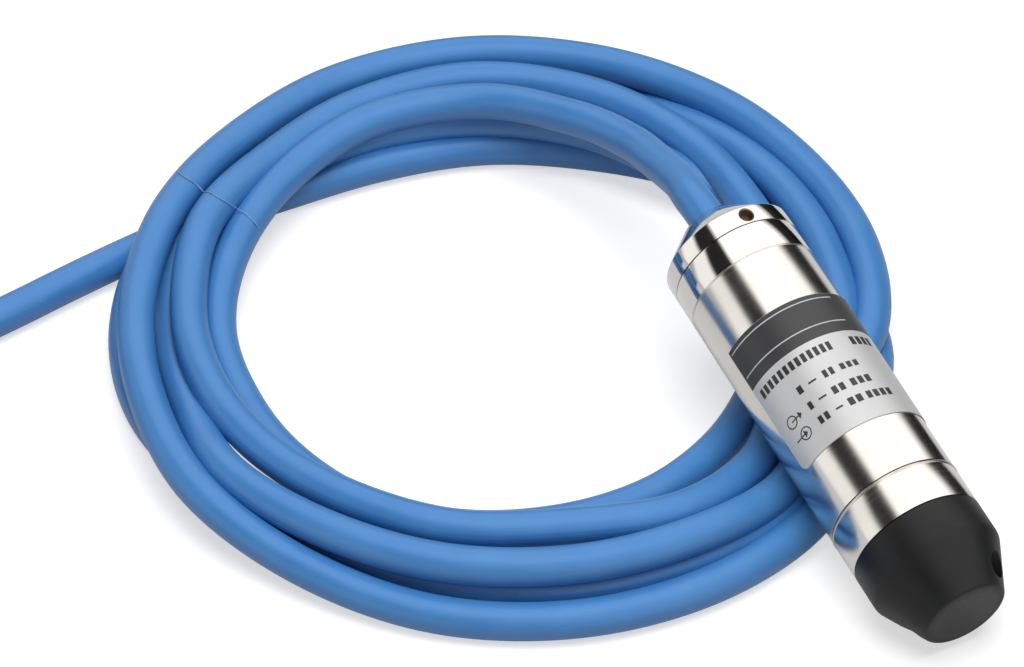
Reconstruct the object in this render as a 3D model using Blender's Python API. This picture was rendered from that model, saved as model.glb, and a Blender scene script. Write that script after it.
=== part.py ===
# Submersible level transmitter with its vented cable, lying on a table.
# A turned stainless case has a conical cable end and a black plastic nose cap.
# Lengths are in metres. Along the case, s runs from the foot of the cone (s = 0) towards the nose.
import bpy
import bmesh
from math import atan2, ceil, cos, pi, radians, sin, sqrt, tan
from mathutils import Matrix, Vector

# Case tube
CASE_RADIUS = 0.0135
CASE_WALL = 0.0015
TUBE_LENGTH = 0.0549

# Cable-end cap
CONE_LENGTH = 0.0065
CONE_END_RADIUS = 0.0065
END_BAND = 0.0039
END_THREAD_RADIUS = 0.0105
END_THREAD_LENGTH = 0.0050
SPANNER_HOLE_RADIUS = 0.0014
SPANNER_HOLE_DEPTH = 0.0020
SPANNER_HOLE_PLACE = 0.0020
SPANNER_HOLE_ANGLE = radians(-3.5)
SPANNER_HOLES = 2

# Gland collar between the end cap and the tube
COLLAR_BAND = 0.0064
BULKHEAD = 0.0020
SPIGOT_LENGTH = 0.0040
SPIGOT_WALL = 0.0022

# Cable and its seal
CABLE_RADIUS = 0.00375
SEAL_WALL = 0.00215
SEAL_STRAIGHT = 0.0044
SEAL_TAPER = 0.0025
WASHER_THICKNESS = 0.0010
FERRULE_LENGTH = 0.0035
FERRULE_WALL = 0.0012
JACKET_STICKOUT = 0.0015

# O-rings
O_RING_WIRE = 0.00055
O_RING_FLOAT = 0.0003

# Sensor body and measuring cell
SENSOR_BAND = 0.0086
SENSOR_BULKHEAD = 0.0034
WELD_BEAD_HEIGHT = 0.00012
WELD_BEAD_WIDTH = 0.0005
CELL_RADIUS = 0.0080
CELL_LENGTH = 0.0072
CELL_DISH_RADIUS = 0.0068
CELL_DISH_DEPTH = 0.0006
HEADER_RADIUS = 0.0054
HEADER_LENGTH = 0.0026
PIN_RADIUS = 0.00025
PIN_CIRCLE = 0.0036
PIN_LENGTH = 0.0045
PIN_COUNT = 5
DIAPHRAGM_THICKNESS = 0.0002
DIAPHRAGM_WAVE = 0.00018
DIAPHRAGM_WAVES = 3
RETAINER_LENGTH = 0.0021
RETAINER_WALL = 0.0017
RETAINER_SLOT = 0.0016

# Nose cap
NOSE_THREAD_RADIUS = 0.0112
NOSE_SHOULDER = 0.0012
NOSE_CONE_LENGTH = 0.0105
NOSE_FACE_RADIUS = 0.0085
NOSE_ROUND = 0.0030
NOSE_FACE_ROUND = 0.0010
NOSE_WALL = 0.0023
PORT_RADIUS = 0.0024
PORT_FROM_FACE = 0.0041
PORT_ANGLE = radians(-51.5)

# Electronics
SLEEVE_WALL = 0.0005
CARRIER_DISC = 0.0030
CARRIER_HOLE_RADIUS = 0.0046
CARRIER_GAP = 0.0010
RAIL_HEIGHT = 0.0048
RAIL_WIDTH = 0.0021
BOARD_THICKNESS = 0.0016
TERMINAL_SIZE = (0.0035, 0.0110, 0.0030)
CHIP_SIZE = (0.00175, 0.0060, 0.0070)
REGULATOR_SIZE = (0.0016, 0.0045, 0.0050)
ARRESTOR_RADIUS = 0.0024
ARRESTOR_LENGTH = 0.0055
CAPACITOR_RADIUS = 0.0024
CAPACITOR_LENGTH = 0.0080
CORE_RADIUS = 0.00065
DRAIN_RADIUS = 0.00045
VENT_RADIUS = 0.00060
RIBBON_SIZE = (0.0003, 0.0044, 0.0090)

# Label
LABEL_START = 0.0130
LABEL_LENGTH = 0.0303
LABEL_ARC = 0.0542
LABEL_EDGE_ANGLE = radians(77.5)
LABEL_CORNER = 0.0020
LABEL_THICKNESS = 0.00015
LABEL_GLUE = 0.00008

# Clearances
SEAM = 0.0002
FIT = 0.0003

# The case lies nose down, its back on the coiled cable
SLOPE = radians(13.0)

# Coiled cable on the table, in the model's own frame
COIL_CENTRE_Y = -0.0325
COIL_RIM_UNDER_CASE = 0.0082
COIL_OUTER = 0.0815
COIL_INNER = 0.0510
COIL_OUTER_HEIGHT = 0.0056
COIL_INNER_HEIGHT = 0.0121
SPARE_CENTRE = (-0.1556, -0.1648)
SPARE_RADIUS = 0.0420
SPARE_TURNS_HIGH = 2
CORE_END_LENGTH = 0.0280
CORE_END_SPREAD = 0.0060

# Spacing of the points along a cord
CABLE_STEP = 0.0090
CORE_STEP = 0.0040

# Routes of the uncoiled stretches
LEAD_ROUTE = [
    (-0.0606, 0.0012, 0.0318),
    (-0.0684, 0.0031, 0.0283),
    (-0.0778, 0.0040, 0.0256),
    (-0.0891, 0.0035, 0.0236),
    (-0.0987, 0.0012, 0.0219),
    (-0.1103, -0.0033, 0.0194),
    (-0.1190, -0.0090, 0.0173),
    (-0.1252, -0.0157, 0.0157),
    (-0.1283, -0.0240, 0.0146),
    (-0.1303, -0.0332, 0.0140),
]
TAIL_ROUTE = [
    (-0.1253, -0.0938, 0.00375),
    (-0.1240, -0.1010, 0.00375),
    (-0.1229, -0.1080, 0.00375),
    (-0.1210, -0.1180, 0.00375),
    (-0.11855, -0.1325, 0.00375),
]
END_ROUTE = [
    (-0.2026, -0.1505, 0.0082),
    (-0.2074, -0.1374, 0.0055),
    (-0.2108, -0.1248, 0.00375),
]

# Places along the case
END_CAP_BACK = -CONE_LENGTH
END_CAP_FRONT = END_BAND
END_THREAD_END = END_BAND + END_THREAD_LENGTH
COLLAR_BACK = END_BAND + SEAM
COLLAR_FRONT = COLLAR_BACK + COLLAR_BAND
BULKHEAD_BACK = END_THREAD_END + FIT
BULKHEAD_FRONT = max(BULKHEAD_BACK + BULKHEAD, COLLAR_FRONT + FIT)
COLLAR_SPIGOT_END = max(COLLAR_FRONT, BULKHEAD_FRONT) + SPIGOT_LENGTH
TUBE_BACK = COLLAR_FRONT + SEAM
TUBE_FRONT = TUBE_BACK + TUBE_LENGTH
SENSOR_BACK = TUBE_FRONT + SEAM
SENSOR_FRONT = SENSOR_BACK + SENSOR_BAND
SENSOR_SPIGOT_END = SENSOR_BACK - SPIGOT_LENGTH
SENSOR_BULK_BACK = SENSOR_BACK + SEAM * 2
SENSOR_BULK_FRONT = SENSOR_BULK_BACK + SENSOR_BULKHEAD
CELL_BACK = SENSOR_BULK_FRONT + FIT
CELL_FRONT = CELL_BACK + CELL_LENGTH
HEADER_BACK = CELL_BACK - HEADER_LENGTH
PIN_TIP = HEADER_BACK - PIN_LENGTH
DIAPHRAGM_BACK = CELL_FRONT + FIT
RETAINER_BACK = DIAPHRAGM_BACK + DIAPHRAGM_THICKNESS + FIT
RETAINER_FRONT = RETAINER_BACK + RETAINER_LENGTH
NOSE_SPIGOT_END = max(RETAINER_FRONT, SENSOR_FRONT) + FIT
NOSE_BACK = SENSOR_FRONT + SEAM
NOSE_SEAT = NOSE_SPIGOT_END + FIT
NOSE_CORNER = NOSE_SEAT + NOSE_SHOULDER
NOSE_FACE = NOSE_CORNER + NOSE_CONE_LENGTH
NOSE_TAPER = atan2(CASE_RADIUS - NOSE_FACE_RADIUS, NOSE_CONE_LENGTH)
BORE_RADIUS = CABLE_RADIUS + FIT
SEAL_RADIUS = CABLE_RADIUS + FIT + SEAL_WALL
TUBE_BORE = CASE_RADIUS - CASE_WALL
CELL_BORE = CELL_RADIUS + FIT
FERRULE_BACK = BULKHEAD_FRONT + FIT
JACKET_END = FERRULE_BACK + FERRULE_LENGTH + JACKET_STICKOUT
SLEEVE_BACK = COLLAR_SPIGOT_END + FIT
SLEEVE_FRONT = SENSOR_SPIGOT_END - FIT
SLEEVE_RADIUS = TUBE_BORE - FIT
CARRIER_BACK = max(JACKET_END, SLEEVE_BACK) + CARRIER_GAP
CARRIER_FRONT = min(SLEEVE_FRONT, PIN_TIP) - CARRIER_GAP
CARRIER_RADIUS = SLEEVE_RADIUS - SLEEVE_WALL - FIT
BOARD_BACK = CARRIER_BACK + CARRIER_DISC / 2
BOARD_FRONT = CARRIER_FRONT - CARRIER_DISC / 2
BOARD_TOP = BOARD_THICKNESS / 2 + FIT
RAIL_MIDDLE = sqrt(CARRIER_RADIUS ** 2 - (RAIL_HEIGHT / 2) ** 2) - RAIL_WIDTH / 2 - FIT
BOARD_WIDTH = 2 * RAIL_MIDDLE
COIL_CENTRE_X = COIL_RIM_UNDER_CASE - sqrt(COIL_OUTER ** 2 - COIL_CENTRE_Y ** 2)


for leftover in list(bpy.data.objects):
    bpy.data.objects.remove(leftover, do_unlink=True)


def material(name, colour, roughness, metallic=0.0):
    made = bpy.data.materials.new(name)
    made.use_nodes = True
    shader = made.node_tree.nodes["Principled BSDF"]
    shader.inputs["Base Color"].default_value = (*colour, 1.0)
    shader.inputs["Roughness"].default_value = roughness
    shader.inputs["Metallic"].default_value = metallic
    return made


STEEL = material("polished_steel", (0.70, 0.68, 0.65), 0.18, 1.0)
CELL_STEEL = material("cell_steel", (0.62, 0.61, 0.60), 0.30, 1.0)
BLACK_PLASTIC = material("black_plastic", (0.03, 0.03, 0.035), 0.45)
LABEL_FOIL = material("label_foil", (0.55, 0.56, 0.58), 0.40, 0.3)
CABLE_BLUE = material("cable_blue", (0.06, 0.21, 0.53), 0.50)
SEAL_RUBBER = material("seal_rubber", (0.05, 0.05, 0.05), 0.70)
BRASS = material("brass", (0.75, 0.58, 0.25), 0.30, 1.0)
BOARD_GREEN = material("board_green", (0.03, 0.22, 0.10), 0.50)
CARRIER_PLASTIC = material("carrier_plastic", (0.75, 0.74, 0.70), 0.55)
CHIP_BLACK = material("chip_black", (0.02, 0.02, 0.02), 0.40)
CERAMIC = material("arrestor_ceramic", (0.85, 0.83, 0.80), 0.35)
CORE_RED = material("core_red", (0.55, 0.03, 0.03), 0.45)
CORE_BLACK = material("core_black", (0.02, 0.02, 0.02), 0.45)
COPPER = material("tinned_copper", (0.75, 0.70, 0.64), 0.35, 1.0)
VENT_CLEAR = material("vent_tube", (0.80, 0.82, 0.84), 0.30)


def place_of_rest():
    """The case's pose: lowest point at z = 0 and its middle over the origin."""
    outline = [(END_CAP_BACK, CONE_END_RADIUS), (0.0, CASE_RADIUS)] + nose_outside()
    low = min(-s * sin(SLOPE) - r * cos(SLOPE) for s, r in outline)
    ends = [s * cos(SLOPE) + side * r * sin(SLOPE) for s, r in outline for side in (-1, 1)]
    middle = (min(ends) + max(ends)) / 2
    turn = Matrix.Rotation(pi / 2 + SLOPE, 4, "Y") @ Matrix.Rotation(pi, 4, "Z")
    return Matrix.Translation((-middle, 0.0, -low)) @ turn


def arc(centre_s, centre_r, radius, start, end, steps):
    """Points (s, r) on an arc, with angles measured from the outward radius towards the nose."""
    points = []
    for step in range(steps + 1):
        angle = start + (end - start) * step / steps
        points.append((centre_s + radius * sin(angle), centre_r + radius * cos(angle)))
    return points


def nose_outside():
    """Outside of the nose cap, from the seam round the shoulder and cone to the rim of the face."""
    shoulder_run = NOSE_ROUND * tan(NOSE_TAPER / 2)
    shoulder = arc(NOSE_CORNER - shoulder_run, CASE_RADIUS - NOSE_ROUND, NOSE_ROUND, 0.0,
                   NOSE_TAPER, 4)
    turn = pi / 2 - NOSE_TAPER
    rim_run = NOSE_FACE_ROUND * tan(turn / 2)
    rim = arc(NOSE_FACE - NOSE_FACE_ROUND, NOSE_FACE_RADIUS - rim_run, NOSE_FACE_ROUND, NOSE_TAPER,
              pi / 2, 4)
    return [(NOSE_BACK, CASE_RADIUS)] + shoulder + rim


def lathe(name, outline, look, segments=48, parent=None):
    """Turns a closed outline of (s, r) points round the local Z axis."""
    shape = bmesh.new()
    ring = [shape.verts.new((r, 0.0, s)) for s, r in outline]
    count = len(ring)
    edges = []
    for index in range(count):
        here, after = ring[index], ring[(index + 1) % count]
        if here.co.x > 1e-9 or after.co.x > 1e-9:
            edges.append(shape.edges.new((here, after)))
    bmesh.ops.spin(shape, geom=ring + edges, cent=(0, 0, 0), axis=(0, 0, 1), angle=2 * pi,
                   steps=segments, use_merge=True, use_duplicate=False)
    bmesh.ops.remove_doubles(shape, verts=shape.verts, dist=1e-7)
    bmesh.ops.recalc_face_normals(shape, faces=shape.faces)
    return finish_mesh(name, shape, look, parent)


def finish_mesh(name, shape, look, parent=None):
    mesh = bpy.data.meshes.new(name)
    shape.to_mesh(mesh)
    shape.free()
    mesh.materials.append(look)
    mesh.shade_smooth()
    mesh.set_sharp_from_angle(angle=radians(35))
    made = bpy.data.objects.new(name, mesh)
    bpy.context.scene.collection.objects.link(made)
    made.parent = parent
    return made


def box(name, size, centre, look, parent=None):
    """A block whose size is given along local X, Y and Z."""
    shape = bmesh.new()
    bmesh.ops.create_cube(shape, size=1.0)
    bmesh.ops.scale(shape, vec=size, verts=shape.verts)
    bmesh.ops.translate(shape, vec=centre, verts=shape.verts)
    return finish_mesh(name, shape, look, parent)


def rod(name, radius, start, end, look, segments=16, parent=None):
    """A plain round bar between two points."""
    start, end = Vector(start), Vector(end)
    shape = bmesh.new()
    bmesh.ops.create_cone(shape, cap_ends=True, segments=segments, radius1=radius, radius2=radius,
                          depth=(end - start).length)
    turn = (end - start).to_track_quat("Z", "Y").to_matrix().to_4x4()
    bmesh.ops.transform(shape, matrix=Matrix.Translation((start + end) / 2) @ turn, verts=shape.verts)
    return finish_mesh(name, shape, look, parent)


def combine(piece, tool, operation):
    """Joins or cuts with a hidden tool body, which then stays as an editable guide."""
    step = piece.modifiers.new(tool.name, "BOOLEAN")
    step.operation = operation
    step.solver = "EXACT"
    step.object = tool
    tool.hide_render = True
    tool.display_type = "WIRE"


def smooth_route(points, spacing):
    """Evenly spaced points on a smooth curve through the route's own points."""
    route = [Vector(p) for p in points]
    route = [2 * route[0] - route[1]] + route + [2 * route[-1] - route[-2]]
    found = [route[1]]
    for a, b, c, d in zip(route, route[1:], route[2:], route[3:]):
        steps = max(1, ceil((c - b).length / spacing))
        for step in range(1, steps + 1):
            t = step / steps
            bend = (2 * b + (c - a) * t + (2 * a - 5 * b + 4 * c - d) * t * t
                    + (3 * b - a - 3 * c + d) * t ** 3)
            found.append(bend / 2)
    return found


def cord(name, points, radius, look, resolution=3, parent=None):
    """A round tube along a poly line, closed at both ends."""
    curve = bpy.data.curves.new(name, "CURVE")
    curve.dimensions = "3D"
    curve.bevel_depth = radius
    curve.bevel_resolution = resolution
    curve.use_fill_caps = True
    spline = curve.splines.new("POLY")
    spline.points.add(len(points) - 1)
    for point, place in zip(spline.points, points):
        point.co = (*place, 1.0)
    curve.materials.append(look)
    made = bpy.data.objects.new(name, curve)
    bpy.context.scene.collection.objects.link(made)
    made.parent = parent
    return made


def o_ring(name, place, centre_radius, parent):
    """A round-section seal ring."""
    section = [(place + O_RING_WIRE * sin(turn * pi / 4), centre_radius + O_RING_WIRE * cos(turn * pi / 4))
               for turn in range(8)]
    return lathe(name, section, SEAL_RUBBER, 28, parent)


def o_ring_groove(place, mouth_radius):
    """Groove points for an o-ring, in the order of an outline that runs towards the nose."""
    half = O_RING_WIRE + O_RING_FLOAT
    floor = mouth_radius - 2 * O_RING_WIRE - O_RING_FLOAT
    return [(place - half, mouth_radius), (place - half, floor), (place + half, floor),
            (place + half, mouth_radius)]


def end_cap(axis):
    """Cable-end cap: cone, band, threaded spigot with an o-ring groove, and the taper seat of the seal."""
    groove = COLLAR_BACK + 2 * FIT + O_RING_WIRE + O_RING_FLOAT
    outline = [(END_CAP_BACK, BORE_RADIUS), (END_CAP_BACK, CONE_END_RADIUS), (0.0, CASE_RADIUS),
               (END_CAP_FRONT, CASE_RADIUS), (END_CAP_FRONT, END_THREAD_RADIUS)]
    outline += o_ring_groove(groove, END_THREAD_RADIUS)
    seal_end = END_THREAD_END - WASHER_THICKNESS - FIT
    outline += [(END_THREAD_END, END_THREAD_RADIUS), (END_THREAD_END, SEAL_RADIUS + FIT),
                (seal_end - SEAL_STRAIGHT, SEAL_RADIUS + FIT),
                (seal_end - SEAL_STRAIGHT - SEAL_TAPER, BORE_RADIUS)]
    cap = lathe("end_cap", outline, STEEL, 48, axis)
    for hole in range(SPANNER_HOLES):
        angle = SPANNER_HOLE_ANGLE + 2 * pi * hole / SPANNER_HOLES
        out = Vector((cos(angle), sin(angle), 0.0))
        middle = Vector((0.0, 0.0, SPANNER_HOLE_PLACE))
        cutter = rod("spanner_hole_cutter_%d" % hole, SPANNER_HOLE_RADIUS,
                     middle + out * (CASE_RADIUS - SPANNER_HOLE_DEPTH),
                     middle + out * (CASE_RADIUS + SPANNER_HOLE_DEPTH), STEEL, 20, axis)
        combine(cap, cutter, "DIFFERENCE")
    o_ring("end_cap_o_ring", groove, END_THREAD_RADIUS - O_RING_WIRE, axis)


def gland(axis):
    """Collar with its bulkhead, and the seal, washer and ferrule that grip the cable inside it."""
    spigot = TUBE_BORE - FIT
    thread = END_THREAD_RADIUS + FIT
    outline = [(COLLAR_BACK, thread), (COLLAR_BACK, CASE_RADIUS), (COLLAR_FRONT, CASE_RADIUS),
               (COLLAR_FRONT, spigot), (COLLAR_SPIGOT_END, spigot),
               (COLLAR_SPIGOT_END, spigot - SPIGOT_WALL), (BULKHEAD_FRONT, spigot - SPIGOT_WALL),
               (BULKHEAD_FRONT, BORE_RADIUS), (BULKHEAD_BACK, BORE_RADIUS), (BULKHEAD_BACK, thread)]
    lathe("gland_collar", outline, STEEL, 48, axis)
    seal_end = END_THREAD_END - WASHER_THICKNESS - FIT
    taper_end = seal_end - SEAL_STRAIGHT
    small = taper_end - SEAL_TAPER + 2 * FIT
    seal = [(small, BORE_RADIUS), (small, BORE_RADIUS + FIT), (taper_end + FIT, SEAL_RADIUS),
            (seal_end, SEAL_RADIUS), (seal_end, BORE_RADIUS)]
    lathe("gland_seal", seal, SEAL_RUBBER, 32, axis)
    washer = [(seal_end + FIT, BORE_RADIUS), (seal_end + FIT, SEAL_RADIUS), (END_THREAD_END, SEAL_RADIUS),
              (END_THREAD_END, BORE_RADIUS)]
    lathe("gland_washer", washer, CELL_STEEL, 32, axis)
    ferrule_front = FERRULE_BACK + FERRULE_LENGTH
    ferrule = [(FERRULE_BACK, BORE_RADIUS), (FERRULE_BACK, BORE_RADIUS + FERRULE_WALL),
               (ferrule_front, BORE_RADIUS + FERRULE_WALL), (ferrule_front, BORE_RADIUS)]
    lathe("strain_relief_ferrule", ferrule, BRASS, 32, axis)
    rod("cable_in_gland", CABLE_RADIUS, (0, 0, END_CAP_BACK), (0, 0, JACKET_END), CABLE_BLUE, 32, axis)


def case_tube(axis):
    outline = [(TUBE_BACK, TUBE_BORE), (TUBE_BACK, CASE_RADIUS), (TUBE_FRONT, CASE_RADIUS),
               (TUBE_FRONT, TUBE_BORE)]
    lathe("case_tube", outline, STEEL, 48, axis)


def label(axis):
    """Foil label with rounded corners, bent round the tube."""
    inside = CASE_RADIUS + LABEL_GLUE
    outside = inside + LABEL_THICKNESS
    back = TUBE_BACK + LABEL_START
    corner = min(LABEL_CORNER, LABEL_LENGTH / 2, LABEL_ARC / 4)
    strip = []
    for step in range(5):
        angle = step / 4 * pi / 2
        strip.append((corner * (1 - cos(angle)), corner * (1 - sin(angle))))
    plain = ceil((LABEL_ARC - 2 * corner) / (CASE_RADIUS * radians(7.5)))
    columns = strip[:]
    for step in range(1, plain):
        columns.append((corner + (LABEL_ARC - 2 * corner) * step / plain, 0.0))
    columns += [(LABEL_ARC - run, inset) for run, inset in reversed(strip)]
    shape = bmesh.new()
    rows = []
    for run, inset in columns:
        angle = LABEL_EDGE_ANGLE - run / CASE_RADIUS
        out = Vector((cos(angle), sin(angle), 0.0))
        low = Vector((0.0, 0.0, back + inset))
        high = Vector((0.0, 0.0, back + LABEL_LENGTH - inset))
        rows.append([shape.verts.new(out * inside + low), shape.verts.new(out * outside + low),
                     shape.verts.new(out * outside + high), shape.verts.new(out * inside + high)])
    for here, after in zip(rows, rows[1:]):
        for side in range(4):
            other = (side + 1) % 4
            shape.faces.new((here[side], here[other], after[other], after[side]))
    shape.faces.new(rows[0])
    shape.faces.new(rows[-1])
    bmesh.ops.recalc_face_normals(shape, faces=shape.faces)
    finish_mesh("label_foil", shape, LABEL_FOIL, axis)


def sensor_body(axis):
    """Welded front body: spigot into the tube, band with its weld bead, and the thread for the nose cap."""
    spigot = TUBE_BORE - FIT
    bead = SENSOR_BACK + SEAM
    header_bore = HEADER_RADIUS + FIT
    outline = [(SENSOR_SPIGOT_END, spigot - SPIGOT_WALL), (SENSOR_SPIGOT_END, spigot),
               (SENSOR_BACK, spigot), (SENSOR_BACK, CASE_RADIUS), (bead, CASE_RADIUS),
               (bead + WELD_BEAD_WIDTH * 0.25, CASE_RADIUS + WELD_BEAD_HEIGHT),
               (bead + WELD_BEAD_WIDTH * 0.75, CASE_RADIUS + WELD_BEAD_HEIGHT),
               (bead + WELD_BEAD_WIDTH, CASE_RADIUS), (SENSOR_FRONT, CASE_RADIUS),
               (SENSOR_FRONT, NOSE_THREAD_RADIUS), (NOSE_SPIGOT_END, NOSE_THREAD_RADIUS),
               (NOSE_SPIGOT_END, CELL_BORE), (SENSOR_BULK_FRONT, CELL_BORE),
               (SENSOR_BULK_FRONT, header_bore), (SENSOR_BULK_BACK, header_bore),
               (SENSOR_BULK_BACK, spigot - SPIGOT_WALL)]
    lathe("sensor_body", outline, STEEL, 48, axis)


def measuring_cell(axis):
    """Oil-filled cell with its pin header, o-ring, corrugated diaphragm and retaining ring."""
    groove = CELL_BACK + CELL_LENGTH / 2
    outline = [(HEADER_BACK, 0.0), (HEADER_BACK, HEADER_RADIUS), (CELL_BACK, HEADER_RADIUS),
               (CELL_BACK, CELL_RADIUS)]
    outline += o_ring_groove(groove, CELL_RADIUS)
    outline += [(CELL_FRONT, CELL_RADIUS), (CELL_FRONT, CELL_DISH_RADIUS),
                (CELL_FRONT - CELL_DISH_DEPTH, CELL_DISH_RADIUS - CELL_DISH_DEPTH),
                (CELL_FRONT - CELL_DISH_DEPTH, 0.0)]
    cell = lathe("measuring_cell", outline, CELL_STEEL, 32, axis)
    for pin in range(PIN_COUNT):
        angle = 2 * pi * (pin + 0.5) / PIN_COUNT
        foot = Vector((PIN_CIRCLE * cos(angle), PIN_CIRCLE * sin(angle), HEADER_BACK + FIT))
        tip = Vector((foot.x, foot.y, PIN_TIP))
        combine(cell, rod("pin_tool_%d" % pin, PIN_RADIUS, tip, foot, CELL_STEEL, 8, axis), "UNION")
    o_ring("cell_o_ring", groove, CELL_RADIUS - O_RING_WIRE, axis)

    steps = DIAPHRAGM_WAVES * 3
    wave = []
    for step in range(steps + 1):
        run = step / steps
        swell = DIAPHRAGM_WAVE * sin(2 * pi * DIAPHRAGM_WAVES * run) if step < steps else 0.0
        wave.append((DIAPHRAGM_BACK + max(swell, 0.0), CELL_DISH_RADIUS * run))
    back = wave + [(DIAPHRAGM_BACK, CELL_RADIUS)]
    front = [(s + DIAPHRAGM_THICKNESS, r) for s, r in reversed(back)]
    lathe("diaphragm", back + front, CELL_STEEL, 32, axis)

    inner = CELL_RADIUS - RETAINER_WALL
    ring = [(RETAINER_BACK, inner), (RETAINER_BACK, CELL_RADIUS), (RETAINER_FRONT, CELL_RADIUS),
            (RETAINER_FRONT, inner)]
    retainer = lathe("cell_retaining_ring", ring, CELL_STEEL, 40, axis)
    slot_depth = RETAINER_LENGTH / 2
    slot = box("retainer_slot_cutter", (RETAINER_SLOT, 3 * CELL_RADIUS, slot_depth * 2),
               (0.0, 0.0, RETAINER_FRONT), CELL_STEEL, axis)
    combine(retainer, slot, "DIFFERENCE")


def nose_cap(axis):
    """Plastic nose cap: threaded skirt, water chamber and two ports drilled across the cone."""
    thread = NOSE_THREAD_RADIUS + FIT
    floor = NOSE_FACE - NOSE_WALL
    slope = tan(NOSE_TAPER)
    inset = NOSE_WALL / cos(NOSE_TAPER)

    def chamber_radius(s):
        return min(thread, CASE_RADIUS - (s - NOSE_CORNER) * slope - inset)

    outline = [(NOSE_BACK, thread)] + nose_outside() + [(NOSE_FACE, 0.0), (floor, 0.0)]
    outline += [(floor, chamber_radius(floor)), (NOSE_CORNER, chamber_radius(NOSE_CORNER)),
                (NOSE_SEAT, thread)]
    cap = lathe("nose_cap", outline, BLACK_PLASTIC, 48, axis)
    out = Vector((cos(PORT_ANGLE), sin(PORT_ANGLE), 0.0))
    middle = Vector((0.0, 0.0, NOSE_FACE - PORT_FROM_FACE))
    reach = CASE_RADIUS * 1.2
    cutter = rod("port_cutter", PORT_RADIUS, middle - out * reach, middle + out * reach,
                 BLACK_PLASTIC, 20, axis)
    combine(cap, cutter, "DIFFERENCE")


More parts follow.
